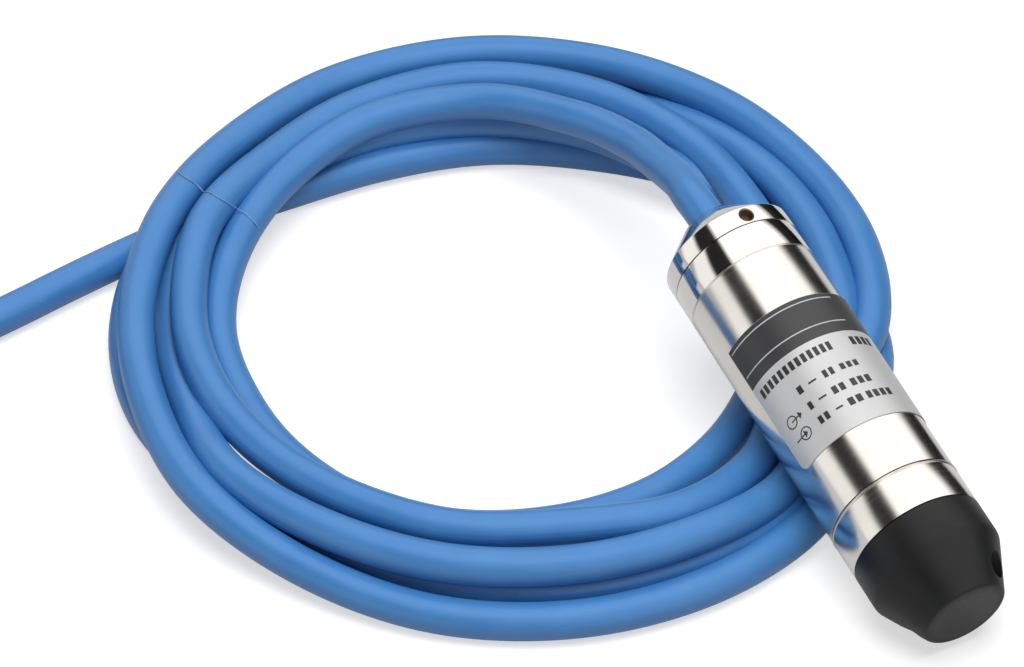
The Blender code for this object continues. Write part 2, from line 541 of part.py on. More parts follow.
def electronics(axis):
    """Insulating sleeve, board carrier, board and its parts."""
    sleeve = [(SLEEVE_BACK, SLEEVE_RADIUS - SLEEVE_WALL), (SLEEVE_BACK, SLEEVE_RADIUS),
              (SLEEVE_FRONT, SLEEVE_RADIUS), (SLEEVE_FRONT, SLEEVE_RADIUS - SLEEVE_WALL)]
    lathe("insulating_sleeve", sleeve, CARRIER_PLASTIC, 40, axis)

    def disc(start, end):
        return [(start, CARRIER_HOLE_RADIUS), (start, CARRIER_RADIUS), (end, CARRIER_RADIUS),
                (end, CARRIER_HOLE_RADIUS)]

    carrier = lathe("board_carrier", disc(CARRIER_BACK, CARRIER_BACK + CARRIER_DISC), CARRIER_PLASTIC,
                    40, axis)
    far_disc = lathe("carrier_disc_tool", disc(CARRIER_FRONT - CARRIER_DISC, CARRIER_FRONT),
                     CARRIER_PLASTIC, 40, axis)
    combine(carrier, far_disc, "UNION")
    middle = (CARRIER_BACK + CARRIER_FRONT) / 2
    rail_size = (RAIL_HEIGHT, RAIL_WIDTH, CARRIER_FRONT - CARRIER_BACK - CARRIER_DISC)
    for side in (-1, 1):
        rail = box("carrier_rail_tool_%d" % (side + 1), rail_size, (0.0, side * RAIL_MIDDLE, middle),
                   CARRIER_PLASTIC, axis)
        combine(carrier, rail, "UNION")
    board_size = (BOARD_THICKNESS, BOARD_WIDTH, BOARD_FRONT - BOARD_BACK)
    slot_size = [length + 2 * FIT for length in board_size]
    slot = box("board_slot_cutter", slot_size, (0.0, 0.0, middle), CARRIER_PLASTIC, axis)
    combine(carrier, slot, "DIFFERENCE")
    box("circuit_board", board_size, (0.0, 0.0, middle), BOARD_GREEN, axis)

    def on_board(size, y, s):
        return (BOARD_TOP + size[0] / 2, y, s)

    terminal_back = CARRIER_BACK + CARRIER_DISC + FIT
    terminal_middle = terminal_back + TERMINAL_SIZE[2] / 2
    box("terminal_block", TERMINAL_SIZE, on_board(TERMINAL_SIZE, 0.0, terminal_middle), CARRIER_PLASTIC,
        axis)
    chip_place = middle + CHIP_SIZE[2] / 4
    box("amplifier_chip", CHIP_SIZE, on_board(CHIP_SIZE, 0.0, chip_place), CHIP_BLACK, axis)
    below_board = (-BOARD_TOP - REGULATOR_SIZE[0] / 2, BOARD_WIDTH / 5, middle)
    box("regulator_chip", REGULATOR_SIZE, below_board, CHIP_BLACK, axis)
    arrestor_place = terminal_back + TERMINAL_SIZE[2] + FIT + ARRESTOR_RADIUS
    arrestor_height = BOARD_TOP + ARRESTOR_RADIUS
    rod("surge_arrestor", ARRESTOR_RADIUS, (arrestor_height, -ARRESTOR_LENGTH / 2, arrestor_place),
        (arrestor_height, ARRESTOR_LENGTH / 2, arrestor_place), CERAMIC, 20, axis)
    capacitor_front = CARRIER_FRONT - CARRIER_DISC - FIT
    capacitor_height = BOARD_TOP + CAPACITOR_RADIUS
    capacitor_side = -RIBBON_SIZE[1] / 2 - FIT - CAPACITOR_RADIUS
    rod("smoothing_capacitor", CAPACITOR_RADIUS,
        (capacitor_height, capacitor_side, capacitor_front - CAPACITOR_LENGTH),
        (capacitor_height, capacitor_side, capacitor_front), CHIP_BLACK, 20, axis)

    ribbon_end = PIN_TIP - FIT
    box("cell_ribbon", RIBBON_SIZE, (BOARD_TOP + RIBBON_SIZE[0] / 2, 0.0, ribbon_end - RIBBON_SIZE[2] / 2),
        COPPER, axis)

    start = JACKET_END + FIT
    face = terminal_back - FIT
    height = BOARD_TOP + TERMINAL_SIZE[0] / 2
    spread = TERMINAL_SIZE[1] * 0.28
    inside = CABLE_RADIUS * 0.4
    for name, side, look in (("conductor_red", 1, CORE_RED), ("conductor_black", -1, CORE_BLACK)):
        run = [(inside, side * inside, start), (height * 0.8, side * spread * 0.7, (start + face) / 2),
               (height, side * spread, face)]
        cord(name, smooth_route(run, CORE_STEP / 4), CORE_RADIUS, look, 1, axis)
    drain = [(inside * 1.5, 0.0, start), (height, 0.0, face)]
    cord("shield_drain", drain, DRAIN_RADIUS, COPPER, 1, axis)
    below = BOARD_TOP + REGULATOR_SIZE[0]
    vent = [(-inside, 0.0, start), (-below, 0.0, CARRIER_BACK + CARRIER_DISC),
            (-below, 0.0, CARRIER_FRONT - CARRIER_DISC), (-below * 0.6, 0.0, CARRIER_FRONT),
            (0.0, 0.0, PIN_TIP), (0.0, 0.0, HEADER_BACK - FIT)]
    cord("vent_tube", smooth_route(vent, CORE_STEP), VENT_RADIUS, VENT_CLEAR, 1, axis)


def coiled_cable(exit_point, exit_way):
    """The cable outside the case: lead, coil, tail, spare coil and the stripped end."""
    lead = [exit_point + exit_way * FIT, exit_point + exit_way * CABLE_RADIUS] + LEAD_ROUTE
    cord("cable_lead", smooth_route(lead, CABLE_STEP), CABLE_RADIUS, CABLE_BLUE)
    round_off = CABLE_RADIUS / 2
    bundle = [(0.0, COIL_INNER + round_off), (0.0, COIL_OUTER - round_off), (round_off, COIL_OUTER),
              (COIL_OUTER_HEIGHT - round_off, COIL_OUTER), (COIL_OUTER_HEIGHT, COIL_OUTER - round_off),
              (COIL_INNER_HEIGHT, COIL_INNER + 2 * round_off),
              (COIL_INNER_HEIGHT - round_off, COIL_INNER + round_off / 2),
              (COIL_INNER_HEIGHT - 2 * round_off, COIL_INNER), (round_off, COIL_INNER)]
    coil = lathe("cable_coil", bundle, CABLE_BLUE, 56)
    coil.location = (COIL_CENTRE_X, COIL_CENTRE_Y, 0.0)
    cord("cable_tail", smooth_route(TAIL_ROUTE, CABLE_STEP), CABLE_RADIUS, CABLE_BLUE)
    height = 2 * CABLE_RADIUS * SPARE_TURNS_HIGH
    inner, outer = SPARE_RADIUS - CABLE_RADIUS, SPARE_RADIUS + CABLE_RADIUS
    spare = [(0.0, inner + round_off), (0.0, outer - round_off), (round_off, outer),
             (height - round_off, outer), (height, outer - round_off), (height, inner + round_off),
             (height - round_off, inner), (round_off, inner)]
    ring = lathe("cable_spare_coil", spare, CABLE_BLUE, 48)
    ring.location = (*SPARE_CENTRE, 0.0)
    end = smooth_route(END_ROUTE, CABLE_STEP)
    cord("cable_end", end, CABLE_RADIUS, CABLE_BLUE)

    way = (end[-1] - end[-2]).normalized()
    side = Vector((-way.y, way.x, 0.0))
    up = Vector((0.0, 0.0, 1.0))
    cores = (("end_core_red", 1.0, 0.6, CORE_RADIUS, CORE_RED),
             ("end_core_black", -1.0, 0.6, CORE_RADIUS, CORE_BLACK),
             ("end_shield_drain", 0.0, -0.9, DRAIN_RADIUS, COPPER),
             ("end_vent_tube", 0.0, 1.2, VENT_RADIUS, VENT_CLEAR))
    for name, across, above, radius, look in cores:
        start = end[-1] + way * FIT + (side * across + up * above) * CABLE_RADIUS * 0.4
        middle = start + way * CORE_END_LENGTH * 0.4 + side * across * CORE_END_SPREAD / 3
        tip = start + way * CORE_END_LENGTH * (1.0 if across else 0.8) + side * across * CORE_END_SPREAD
        tip.z = middle.z
        cord(name, smooth_route([start, middle, tip], CORE_STEP), radius, look, 1)


case = bpy.data.objects.new("transmitter_axis", None)
bpy.context.scene.collection.objects.link(case)
case.matrix_world = place_of_rest()
end_cap(case)
gland(case)
case_tube(case)
label(case)
sensor_body(case)
measuring_cell(case)
nose_cap(case)
electronics(case)
bpy.context.view_layer.update()
exit_place = case.matrix_world @ Vector((0.0, 0.0, END_CAP_BACK))
exit_direction = (case.matrix_world.to_3x3() @ Vector((0.0, 0.0, -1.0))).normalized()
coiled_cable(exit_place, exit_direction)
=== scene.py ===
from math import atan2, ceil, cos, pi, radians, sin, tan

import bpy
from mathutils import Matrix, Vector


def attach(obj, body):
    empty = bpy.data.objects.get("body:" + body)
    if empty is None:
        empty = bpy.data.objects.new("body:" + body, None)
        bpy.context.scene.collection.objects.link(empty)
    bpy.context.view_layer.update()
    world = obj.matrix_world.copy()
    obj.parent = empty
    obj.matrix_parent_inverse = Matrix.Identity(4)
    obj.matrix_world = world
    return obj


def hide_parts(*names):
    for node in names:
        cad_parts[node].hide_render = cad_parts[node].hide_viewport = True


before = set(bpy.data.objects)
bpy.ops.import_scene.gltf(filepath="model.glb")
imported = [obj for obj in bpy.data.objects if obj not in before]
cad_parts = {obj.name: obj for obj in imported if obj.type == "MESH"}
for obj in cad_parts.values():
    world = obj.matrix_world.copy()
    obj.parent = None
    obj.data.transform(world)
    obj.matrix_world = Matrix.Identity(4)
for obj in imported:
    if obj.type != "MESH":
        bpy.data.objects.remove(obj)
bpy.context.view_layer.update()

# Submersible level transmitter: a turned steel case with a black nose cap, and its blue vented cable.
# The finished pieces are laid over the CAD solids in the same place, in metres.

# The photograph is taken from a little over the table, with a long lens that flattens the perspective.
EYE = Vector((0.5931, -0.3832, 0.6639))
LOOK_RIGHT = Vector((0.46724, 0.88413, 0.0))
LOOK_DOWN = Vector((0.58515, -0.30924, -0.74965))
LOOK_AHEAD = Vector((-0.66279, 0.35027, -0.66184))
FOCAL_LENGTH_PX = 5000.0
PHOTO_WIDTH_PX = 1024
SENSOR_WIDTH = 36.0

camera_data = bpy.data.cameras.new("camera")
camera_data.sensor_fit = "HORIZONTAL"
camera_data.sensor_width = SENSOR_WIDTH
camera_data.lens = FOCAL_LENGTH_PX / PHOTO_WIDTH_PX * SENSOR_WIDTH
camera_data.clip_end = 20.0
camera = bpy.data.objects.new("camera", camera_data)
bpy.context.scene.collection.objects.link(camera)
view_turn = Matrix((LOOK_RIGHT, -LOOK_DOWN, -LOOK_AHEAD)).transposed()
camera.matrix_world = Matrix.Translation(EYE) @ view_turn.to_4x4()
bpy.context.scene.camera = camera

# The cable. A polyurethane jacket, extruded over two cores, a shield and a vent tube, so it is smooth
# and a little satin. It leaves the case, lies in a loose coil of five turns and runs out of the view.
# Its unseen length is wound up on the table beside the view.
CABLE_RADIUS = 0.00375
CABLE_STEP = 0.0025
LEAD_ROUTE = [
    (-0.0484, 0.0000, 0.0330), (-0.0525, 0.0001, 0.0338), (-0.0580, 0.0006, 0.0335),
    (-0.0642, 0.0021, 0.0317), (-0.0753, 0.0034, 0.0280), (-0.0881, 0.0036, 0.0245),
]
COIL_CENTRE = Vector((-0.0643, -0.0332, 0.0))
COIL_START = 140
COIL_STEP = 20
# Radius from the coil's centre and height over the table, in mm, every 20 degrees, three rows a turn
LOOSE_COIL = [
    (50.8, 21.2), (61.6, 16.5), (66.0, 13.8), (64.7, 11.6), (62.9, 8.9), (60.9, 5.6),
    (57.6, 3.8), (56.6, 3.8), (56.2, 3.8), (54.6, 3.8), (52.4, 3.8), (50.6, 3.8),
    (48.8, 3.8), (47.8, 3.8), (49.5, 7.0), (53.6, 9.4), (57.8, 10.2), (63.7, 11.5),
    (70.2, 12.0), (74.7, 12.0), (73.5, 12.0), (70.0, 12.6), (69.0, 13.8), (66.5, 11.3),
    (64.6, 11.0), (63.3, 11.0), (62.3, 11.0), (62.2, 11.0), (61.0, 11.0), (62.4, 10.0),
    (59.2, 7.2), (54.9, 5.4), (62.6, 9.8), (63.8, 11.0), (66.8, 10.2), (71.9, 7.9),
    (79.8, 4.0), (81.2, 3.8), (80.5, 3.8), (77.5, 7.0), (75.2, 8.2), (70.7, 4.2),
    (68.8, 6.4), (72.0, 10.3), (71.6, 11.0), (71.7, 11.0), (71.2, 11.0), (69.8, 10.2),
    (67.5, 7.2), (61.0, 4.0), (68.5, 9.8), (71.3, 11.0), (74.0, 11.0), (77.8, 11.6),
    (81.1, 12.0), (83.4, 12.0), (82.8, 12.0), (78.9, 13.2), (77.0, 14.4), (76.6, 12.4),
    (77.1, 11.1), (78.9, 9.3), (77.9, 5.6), (78.4, 3.8), (78.5, 3.8), (77.3, 3.8),
    (75.0, 3.8), (69.7, 3.8), (69.8, 3.8), (65.5, 5.5), (60.5, 5.0), (57.8, 8.6),
    (60.8, 9.8), (64.1, 9.7), (67.2, 8.3), (70.5, 7.6), (79.5, 4.5), (79.1, 3.8),
    (76.6, 3.8), (71.8, 3.8), (69.8, 3.8), (70.2, 3.8), (70.4, 3.8), (70.0, 3.8),
    (69.5, 3.8), (66.0, 3.8), (62.5, 3.8), (65.0, 3.8), (67.0, 3.8), (63.3, 3.8),
    (61.3, 3.8), (62.0, 3.8), (63.4, 3.8), (68.5, 3.8),
]
TAIL_ROUTE = [
    (-0.1286, -0.0706, 0.00375), (-0.1275, -0.0796, 0.00375), (-0.1262, -0.0880, 0.00375),
    (-0.1249, -0.0965, 0.00375), (-0.1231, -0.1070, 0.00375), (-0.1210, -0.1180, 0.00375),
    (-0.1186, -0.1325, 0.00375), (-0.1164, -0.1451, 0.00375),
]
STORAGE_CENTRE = Vector((-0.1556, -0.1648, 0.0))
STORAGE_RADIUS = 0.0420
STORAGE_START = 9.7
STORAGE_TURN_STEP = 20
STORAGE_SWEEP = 864
# How far round the coil the cable has gone, in degrees, when it starts to climb and when it is up
STORAGE_CLIMBS = ((295, 350), (655, 712))
END_ROUTE = [
    (-0.1950, -0.1835, 0.0180), (-0.2020, -0.1715, 0.0158), (-0.2055, -0.1610, 0.0122),
    (-0.2070, -0.1500, 0.0082), (-0.2085, -0.1374, 0.0050), (-0.2108, -0.1248, 0.00375),
]


def smooth_route(points, spacing):
    """Evenly spaced points on a smooth curve through the route's own points."""
    route = [Vector(p) for p in points]
    route = [2 * route[0] - route[1]] + route + [2 * route[-1] - route[-2]]
    found = [route[1]]
    for a, b, c, d in zip(route, route[1:], route[2:], route[3:]):
        steps = max(1, ceil((c - b).length / spacing))
        for step in range(1, steps + 1):
            t = step / steps
            bend = (2 * b + (c - a) * t + (2 * a - 5 * b + 4 * c - d) * t * t
                    + (3 * b - a - 3 * c + d) * t ** 3)
            found.append(bend / 2)
    return found


def round_cord(name, points, radius, look, roundness=6):
    """A round tube along the points, closed at both ends, as a mesh."""
    curve = bpy.data.curves.new(name, "CURVE")
    curve.dimensions = "3D"
    curve.bevel_depth = radius
    curve.bevel_resolution = roundness
    curve.use_fill_caps = True
    curve.materials.append(look)
    spline = curve.splines.new("POLY")
    spline.points.add(len(points) - 1)
    for point, place in zip(spline.points, points):
        point.co = (*place, 1.0)
    made = bpy.data.objects.new(name, curve)
    bpy.context.scene.collection.objects.link(made)
    bpy.ops.object.select_all(action="DESELECT")
    made.select_set(True)
    bpy.context.view_layer.objects.active = made
    bpy.ops.object.convert(target="MESH")
    made = bpy.context.object
    bpy.ops.object.shade_smooth_by_angle(angle=radians(50))
    return made


def linear(hex_colour):
    """An sRGB hex colour as linear RGBA."""
    shades = [int(hex_colour[place:place + 2], 16) / 255 for place in (1, 3, 5)]
    return (*[s / 12.92 if s <= 0.04045 else ((s + 0.055) / 1.055) ** 2.4 for s in shades], 1.0)


def set_inputs(node, inputs):
    """Gives a node's sockets their values; an output socket as the value makes a link."""
    for socket, value in inputs.items():
        if isinstance(value, bpy.types.NodeSocket):
            node.id_data.links.new(value, node.inputs[socket])
        else:
            node.inputs[socket].default_value = value


def add_node(tree, kind, inputs, **settings):
    """Adds a node with its settings and inputs."""
    node = tree.nodes.new(kind)
    for setting, value in settings.items():
        setattr(node, setting, value)
    set_inputs(node, inputs)
    return node


def new_material(name):
    """A material's node tree and its shader."""
    made = bpy.data.materials.new(name)
    made.use_nodes = True
    return made, made.node_tree, made.node_tree.nodes["Principled BSDF"]


# Extruded polyurethane: soft blue, satin, with faint die lines along it and a slightly uneven sheen.
# The lines are 0.5 mm apart, coarser than real ones, so that they show.
JACKET_BLUE = "#3273b4"
JACKET_BLUE_WORN = "#4a86c1"
DIE_LINES_ROUND = 46

jacket_look, tree, shader = new_material("extruded_polyurethane")
place = add_node(tree, "ShaderNodeTexCoord", {})
cloud = add_node(tree, "ShaderNodeTexNoise", {"Vector": place.outputs["Object"], "Scale": 90.0,
                                              "Detail": 3.0})
tint = add_node(tree, "ShaderNodeMix", {"Factor": cloud.outputs["Fac"], "A": linear(JACKET_BLUE),
                                        "B": linear(JACKET_BLUE_WORN)}, data_type="RGBA")
set_inputs(shader, {
    "Base Color": tint.outputs["Result"],
    "Roughness": add_node(tree, "ShaderNodeMapRange", {"Value": cloud.outputs["Fac"], "To Min": 0.36,
                                                       "To Max": 0.50}).outputs["Result"],
    "IOR": 1.58,
})
round_and_along = add_node(tree, "ShaderNodeSeparateXYZ", {"Vector": place.outputs["UV"]})
die_lines = add_node(tree, "ShaderNodeTexNoise", {
    "W": round_and_along.outputs["Y"], "Scale": DIE_LINES_ROUND, "Detail": 1.0}, noise_dimensions="1D")
set_inputs(shader, {"Normal": add_node(tree, "ShaderNodeBump", {
    "Height": die_lines.outputs["Fac"], "Strength": 0.25, "Distance": 0.00006}).outputs["Normal"]})


def round_the_coil(centre, angle, radius, height):
    """A point at an angle in degrees round a coil's upright axis."""
    turn = radians(angle)
    return centre + Vector((radius * cos(turn), radius * sin(turn), height))


cable_points = list(LEAD_ROUTE)
for step, (radius, height) in enumerate(LOOSE_COIL):
    cable_points.append(round_the_coil(COIL_CENTRE, COIL_START + step * COIL_STEP, radius * 0.001,
                                       max(height * 0.001, CABLE_RADIUS)))
cable_points += TAIL_ROUTE
for sweep in range(STORAGE_TURN_STEP // 2, STORAGE_SWEEP, STORAGE_TURN_STEP):
    height = CABLE_RADIUS
    for start, end in STORAGE_CLIMBS:
        rise = min(max((sweep - start) / (end - start), 0.0), 1.0)
        height += 2 * CABLE_RADIUS * rise * rise * (3 - 2 * rise)
    cable_points.append(round_the_coil(STORAGE_CENTRE, STORAGE_START - sweep, STORAGE_RADIUS, height))
cable_points += END_ROUTE
cable_path = smooth_route(cable_points, CABLE_STEP)
cable = round_cord("submersible_cable", cable_path, CABLE_RADIUS, jacket_look)

# The stripped end. Two insulated cores, the drain wire of the shield and the clear vent tube come out of
# the cut jacket; the cores are stripped to their tinned strands. They are cut and stripped by hand.
CORE_RADIUS = 0.00065
DRAIN_RADIUS = 0.00040
VENT_RADIUS = 0.00060
CORE_END_LENGTH = 0.0280
CORE_END_SPREAD = 0.0060
CORE_STEP = 0.0012
CORE_CIRCLE = 0.4
INSIDE_JACKET = 0.001
STRIPPED_FROM = 0.80
STRANDS = 5
# The strands lie in a circle, twisted a little at each point, as shares of the core's radius
STRAND_CIRCLE = 0.42
STRAND_SIZE = 0.30
STRAND_TWIST = 0.7

# Tinned copper strands: bright grey metal with a warm cast, dull where it has been handled
tinned_look, tree, shader = new_material("tinned_copper_strand")
place = add_node(tree, "ShaderNodeTexCoord", {})
dulling = add_node(tree, "ShaderNodeTexNoise", {"Vector": place.outputs["Object"], "Scale": 900.0})
tint = add_node(tree, "ShaderNodeMix", {"Factor": dulling.outputs["Fac"], "A": linear("#d8d2c8"),
                                        "B": linear("#b8a898")}, data_type="RGBA")
set_inputs(shader, {"Base Color": tint.outputs["Result"], "Metallic": 1.0, "Roughness": add_node(
    tree, "ShaderNodeMapRange", {"Value": dulling.outputs["Fac"], "To Min": 0.22,
                                 "To Max": 0.42}).outputs["Result"]})


def plastic_look(name, deep, worn, rough, grain_mm, relief, ior=1.5):
    """A moulded or extruded plastic or rubber: two close colours in soft clouds, and a fine grain."""
    made, tree, shader = new_material(name)
    place = add_node(tree, "ShaderNodeTexCoord", {})
    cloud = add_node(tree, "ShaderNodeTexNoise", {"Vector": place.outputs["Object"], "Scale": 160.0,
                                                  "Detail": 4.0})
    grain = add_node(tree, "ShaderNodeTexNoise", {"Vector": place.outputs["Object"],
                                                  "Scale": 1000.0 / grain_mm, "Detail": 2.0})
    tint = add_node(tree, "ShaderNodeMix", {"Factor": cloud.outputs["Fac"], "A": linear(deep),
                                            "B": linear(worn)}, data_type="RGBA")
    sheen = add_node(tree, "ShaderNodeMapRange", {"Value": cloud.outputs["Fac"], "To Min": rough - 0.06,
                                                  "To Max": rough + 0.06})
    bump = add_node(tree, "ShaderNodeBump", {"Height": grain.outputs["Fac"], "Strength": relief,
                                             "Distance": 0.00005})
    set_inputs(shader, {"Base Color": tint.outputs["Result"], "Roughness": sheen.outputs["Result"],
                        "Normal": bump.outputs["Normal"], "IOR": ior})
    return made


# Core insulation is extruded PVC, smooth and a little waxy; the vent tube is clear polyamide, half milky
red_core_look = plastic_look("extruded_red_pvc", "#a8201c", "#b83028", 0.40, 0.8, 0.05)
black_core_look = plastic_look("extruded_black_pvc", "#191a1c", "#26272a", 0.42, 0.8, 0.05)
vent_look = plastic_look("clear_polyamide_tube", "#c8d0d4", "#dde3e6", 0.22, 1.2, 0.04, 1.53)
vent_look.node_tree.nodes["Principled BSDF"].inputs["Transmission Weight"].default_value = 0.55

jacket_cut = cable_path[-1]
outward = (cable_path[-1] - cable_path[-2]).normalized()
across = Vector((-outward.y, outward.x, 0.0))
above = Vector((0.0, 0.0, 1.0))
for name, side, lift, radius, look, slot in (
        ("end_core_red", 1.0, 0.6, CORE_RADIUS, red_core_look, "core_red"),
        ("end_core_black", -1.0, 0.6, CORE_RADIUS, black_core_look, "core_black"),
        ("end_shield_drain", 0.0, -0.9, DRAIN_RADIUS, tinned_look, "tinned_copper"),
        ("end_vent_tube", 0.0, 1.2, VENT_RADIUS, vent_look, "vent_tube")):
    root = jacket_cut - outward * INSIDE_JACKET + (across * side + above * lift) * CABLE_RADIUS * CORE_CIRCLE
    middle = root + outward * CORE_END_LENGTH * 0.4 + across * side * CORE_END_SPREAD / 3
    tip = root + outward * CORE_END_LENGTH * (1.0 if side else 0.8) + across * side * CORE_END_SPREAD
    tip.z = middle.z
    run = smooth_route([root, middle, tip], CORE_STEP)
    cut = len(run) if not side else int(len(run) * STRIPPED_FROM)
    core = round_cord(name + "_finished", run[:cut], radius, look, 4)
    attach(core, "transmitter")
    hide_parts(name)
    if not side:
        continue
    bare = run[cut - 2:]
    lay = (bare[-1] - bare[0]).normalized()
    outside = lay.cross(above).normalized()
    for strand in range(STRANDS):
        line = []
        for index, point in enumerate(bare):
            turn = 2 * pi * strand / STRANDS + index * STRAND_TWIST
            spoke = outside * cos(turn) + lay.cross(outside) * sin(turn)
            line.append(point + spoke * radius * STRAND_CIRCLE)
        wire = round_cord(name + "_strand_%d" % strand, line, radius * STRAND_SIZE, tinned_look, 2)
        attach(wire, "transmitter")

# The coil's tie. A clear nylon thread that is laid over three turns and tucked down between them by hand.
TIE_RADIUS = 0.00013
TIE_STEP = 0.0005
TIE_ROUTE = [
    (-0.1296, -0.0779, 0.01760), (-0.1284, -0.0780, 0.01810), (-0.1270, -0.0777, 0.01825),
    (-0.1258, -0.0769, 0.01785), (-0.1251, -0.0760, 0.01690), (-0.1243, -0.0754, 0.01620),
    (-0.1230, -0.0753, 0.01620), (-0.1219, -0.0752, 0.01700), (-0.1206, -0.0749, 0.01760),
    (-0.1186, -0.0741, 0.01750), (-0.1175, -0.0726, 0.01640), (-0.1171, -0.0711, 0.01480),
    (-0.1167, -0.0702, 0.01390), (-0.1156, -0.0695, 0.01355), (-0.1134, -0.0685, 0.01230),
    (-0.1131, -0.0679, 0.01100),
]
nylon_look = plastic_look("clear_nylon_thread", "#8fb3d6", "#a9c4e0", 0.20, 1.0, 0.05, 1.53)
nylon_look.node_tree.nodes["Principled BSDF"].inputs["Transmission Weight"].default_value = 0.5
tie = round_cord("coil_tie_thread", smooth_route(TIE_ROUTE, TIE_STEP), TIE_RADIUS, nylon_look, 2)
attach(tie, "transmitter")

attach(cable, "transmitter")
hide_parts("cable_lead", "cable_coil", "cable_tail", "cable_spare_coil", "cable_end")

# The end cap. A cone and a band with two blind spanner holes, turned from stainless bar, polished on the
# outside and screwed into the collar, where it presses the seal on the cable.
MM = 0.001
SLOPE = radians(13.0)
JUNCTION = Vector((-0.041966, 0.0, 0.031479))
CASE_PLACE = (Matrix.Translation(JUNCTION) @ Matrix.Rotation(pi / 2 + SLOPE, 4, "Y")
              @ Matrix.Rotation(pi, 4, "Z"))
CASE_RADIUS = 13.5
CABLE_BORE = 4.05
EDGE_BREAK = 0.12
# A radius small enough to close a piece at its axis, where the turned points merge
AT_AXIS = 0.0005
CONE_START = -6.5
CONE_END_RADIUS = 6.5
END_BAND = 3.9
END_THREAD_RADIUS = 10.5
END_THREAD_END = 8.9
O_RING_GROOVE = (4.7, 6.4)
GROOVE_FLOOR = 9.1
SEAL_SEAT_RADIUS = 6.5
SEAL_SEAT_TAPER = (3.2, 0.7)
SPANNER_HOLE_PLACE = 2.0
SPANNER_HOLE_ANGLE = radians(-3.5)
SPANNER_HOLE_RADIUS = 1.4
SPANNER_HOLE_DEPTH = 2.0
COUNTERSINK_DEPTH = 0.25
COUNTERSINK_RISE = 0.35
COUNTERSINK_FLARE = 0.6


def turned(name, outline, look, place=CASE_PLACE, sides=128, edge=EDGE_BREAK):
    """A piece turned round an axis: a ring of points drawn out step by step along the outline.

    The outline gives (distance along the axis, radius) in mm. Its edges are broken by a small bevel.
    """
    bpy.ops.object.select_all(action="DESELECT")
    start, radius = outline[0]
    bpy.ops.mesh.primitive_circle_add(vertices=sides, radius=radius * MM, location=(0, 0, 0))
    made = bpy.context.object
    made.name = name
    bpy.ops.object.mode_set(mode="EDIT")
    bpy.ops.mesh.select_all(action="SELECT")
    bpy.ops.transform.translate(value=(0, 0, start * MM))
    for (here, radius), (after, new_radius) in zip(outline, outline[1:]):
        bpy.ops.mesh.extrude_region_move(TRANSFORM_OT_translate={"value": (0, 0, (after - here) * MM)})
        scale = new_radius / radius
        if scale != 1.0:
            bpy.ops.transform.resize(value=(scale, scale, 1), center_override=(0, 0, after * MM))
    bpy.ops.mesh.select_all(action="SELECT")
    bpy.ops.mesh.remove_doubles(threshold=1e-6)
    bpy.ops.mesh.normals_make_consistent(inside=False)
    bpy.ops.object.mode_set(mode="OBJECT")
    if edge:
        bevel = made.modifiers.new("broken_edges", "BEVEL")
        bevel.width = edge * MM
        bevel.segments = 2
        bevel.angle_limit = radians(25)
        bpy.ops.object.modifier_apply(modifier=bevel.name)
    made.data.materials.append(look)
    made.matrix_world = place
    bpy.ops.object.transform_apply(location=True, rotation=True, scale=True)
    bpy.ops.object.shade_smooth_by_angle(angle=radians(35))
    return made


def cut_away(piece, tool):
    """Takes the tool's shape out of the piece and removes the tool."""
    cut = piece.modifiers.new("cut", "BOOLEAN")
    cut.operation = "DIFFERENCE"
    cut.solver = "EXACT"
    cut.material_mode = "TRANSFER"
    cut.object = tool
    bpy.ops.object.select_all(action="DESELECT")
    piece.select_set(True)
    bpy.context.view_layer.objects.active = piece
    bpy.ops.object.modifier_apply(modifier=cut.name)
    bpy.data.objects.remove(tool, do_unlink=True)
    bpy.ops.object.shade_smooth_by_angle(angle=radians(35))


def case_coordinates(tree):
    """The place in the case's own frame, the distance along it and that from its axis, in metres."""
    place = add_node(tree, "ShaderNodeTexCoord", {})
    mapping = add_node(tree, "ShaderNodeMapping", {
        "Vector": place.outputs["Object"], "Location": JUNCTION,
        "Rotation": CASE_PLACE.to_euler()}, vector_type="TEXTURE")
    parts = add_node(tree, "ShaderNodeSeparateXYZ", {"Vector": mapping.outputs["Vector"]})
    flat = add_node(tree, "ShaderNodeCombineXYZ", {"X": parts.outputs["X"], "Y": parts.outputs["Y"]})
    away = add_node(tree, "ShaderNodeVectorMath", {0: flat.outputs["Vector"]}, operation="LENGTH")
    return mapping.outputs["Vector"], parts.outputs["Z"], away.outputs["Value"]


def turned_metal(name, bright, dull, rough, feed_mm, relief):
    """Lathe-turned metal: rings as fine as the tool's feed, and faint smears from handling."""
    made, tree, shader = new_material(name)
    spot, along, away = case_coordinates(tree)
    ring = add_node(tree, "ShaderNodeMath", {0: along, 1: away}, operation="ADD")
    rings = add_node(tree, "ShaderNodeTexNoise", {"W": ring.outputs["Value"], "Scale": 1000.0 / feed_mm,
                                                  "Detail": 2.0}, noise_dimensions="1D")
    smear = add_node(tree, "ShaderNodeTexNoise", {"Vector": spot, "Scale": 110.0, "Detail": 3.0,
                                                  "Distortion": 0.6})
    tint = add_node(tree, "ShaderNodeMix", {"Factor": smear.outputs["Fac"], "A": linear(bright),
                                            "B": linear(dull)}, data_type="RGBA")
    mixed = add_node(tree, "ShaderNodeMath", {0: rings.outputs["Fac"], 1: smear.outputs["Fac"]},
                     operation="MULTIPLY")
    sheen = add_node(tree, "ShaderNodeMapRange", {"Value": mixed.outputs["Value"], "From Max": 0.5,
                                                  "To Min": rough * 0.7, "To Max": rough * 1.3})
    bump = add_node(tree, "ShaderNodeBump", {"Height": rings.outputs["Fac"], "Strength": relief,
                                             "Distance": 0.00002})
    set_inputs(shader, {"Base Color": tint.outputs["Result"], "Metallic": 1.0,
                        "Roughness": sheen.outputs["Result"], "Normal": bump.outputs["Normal"]})
    return made


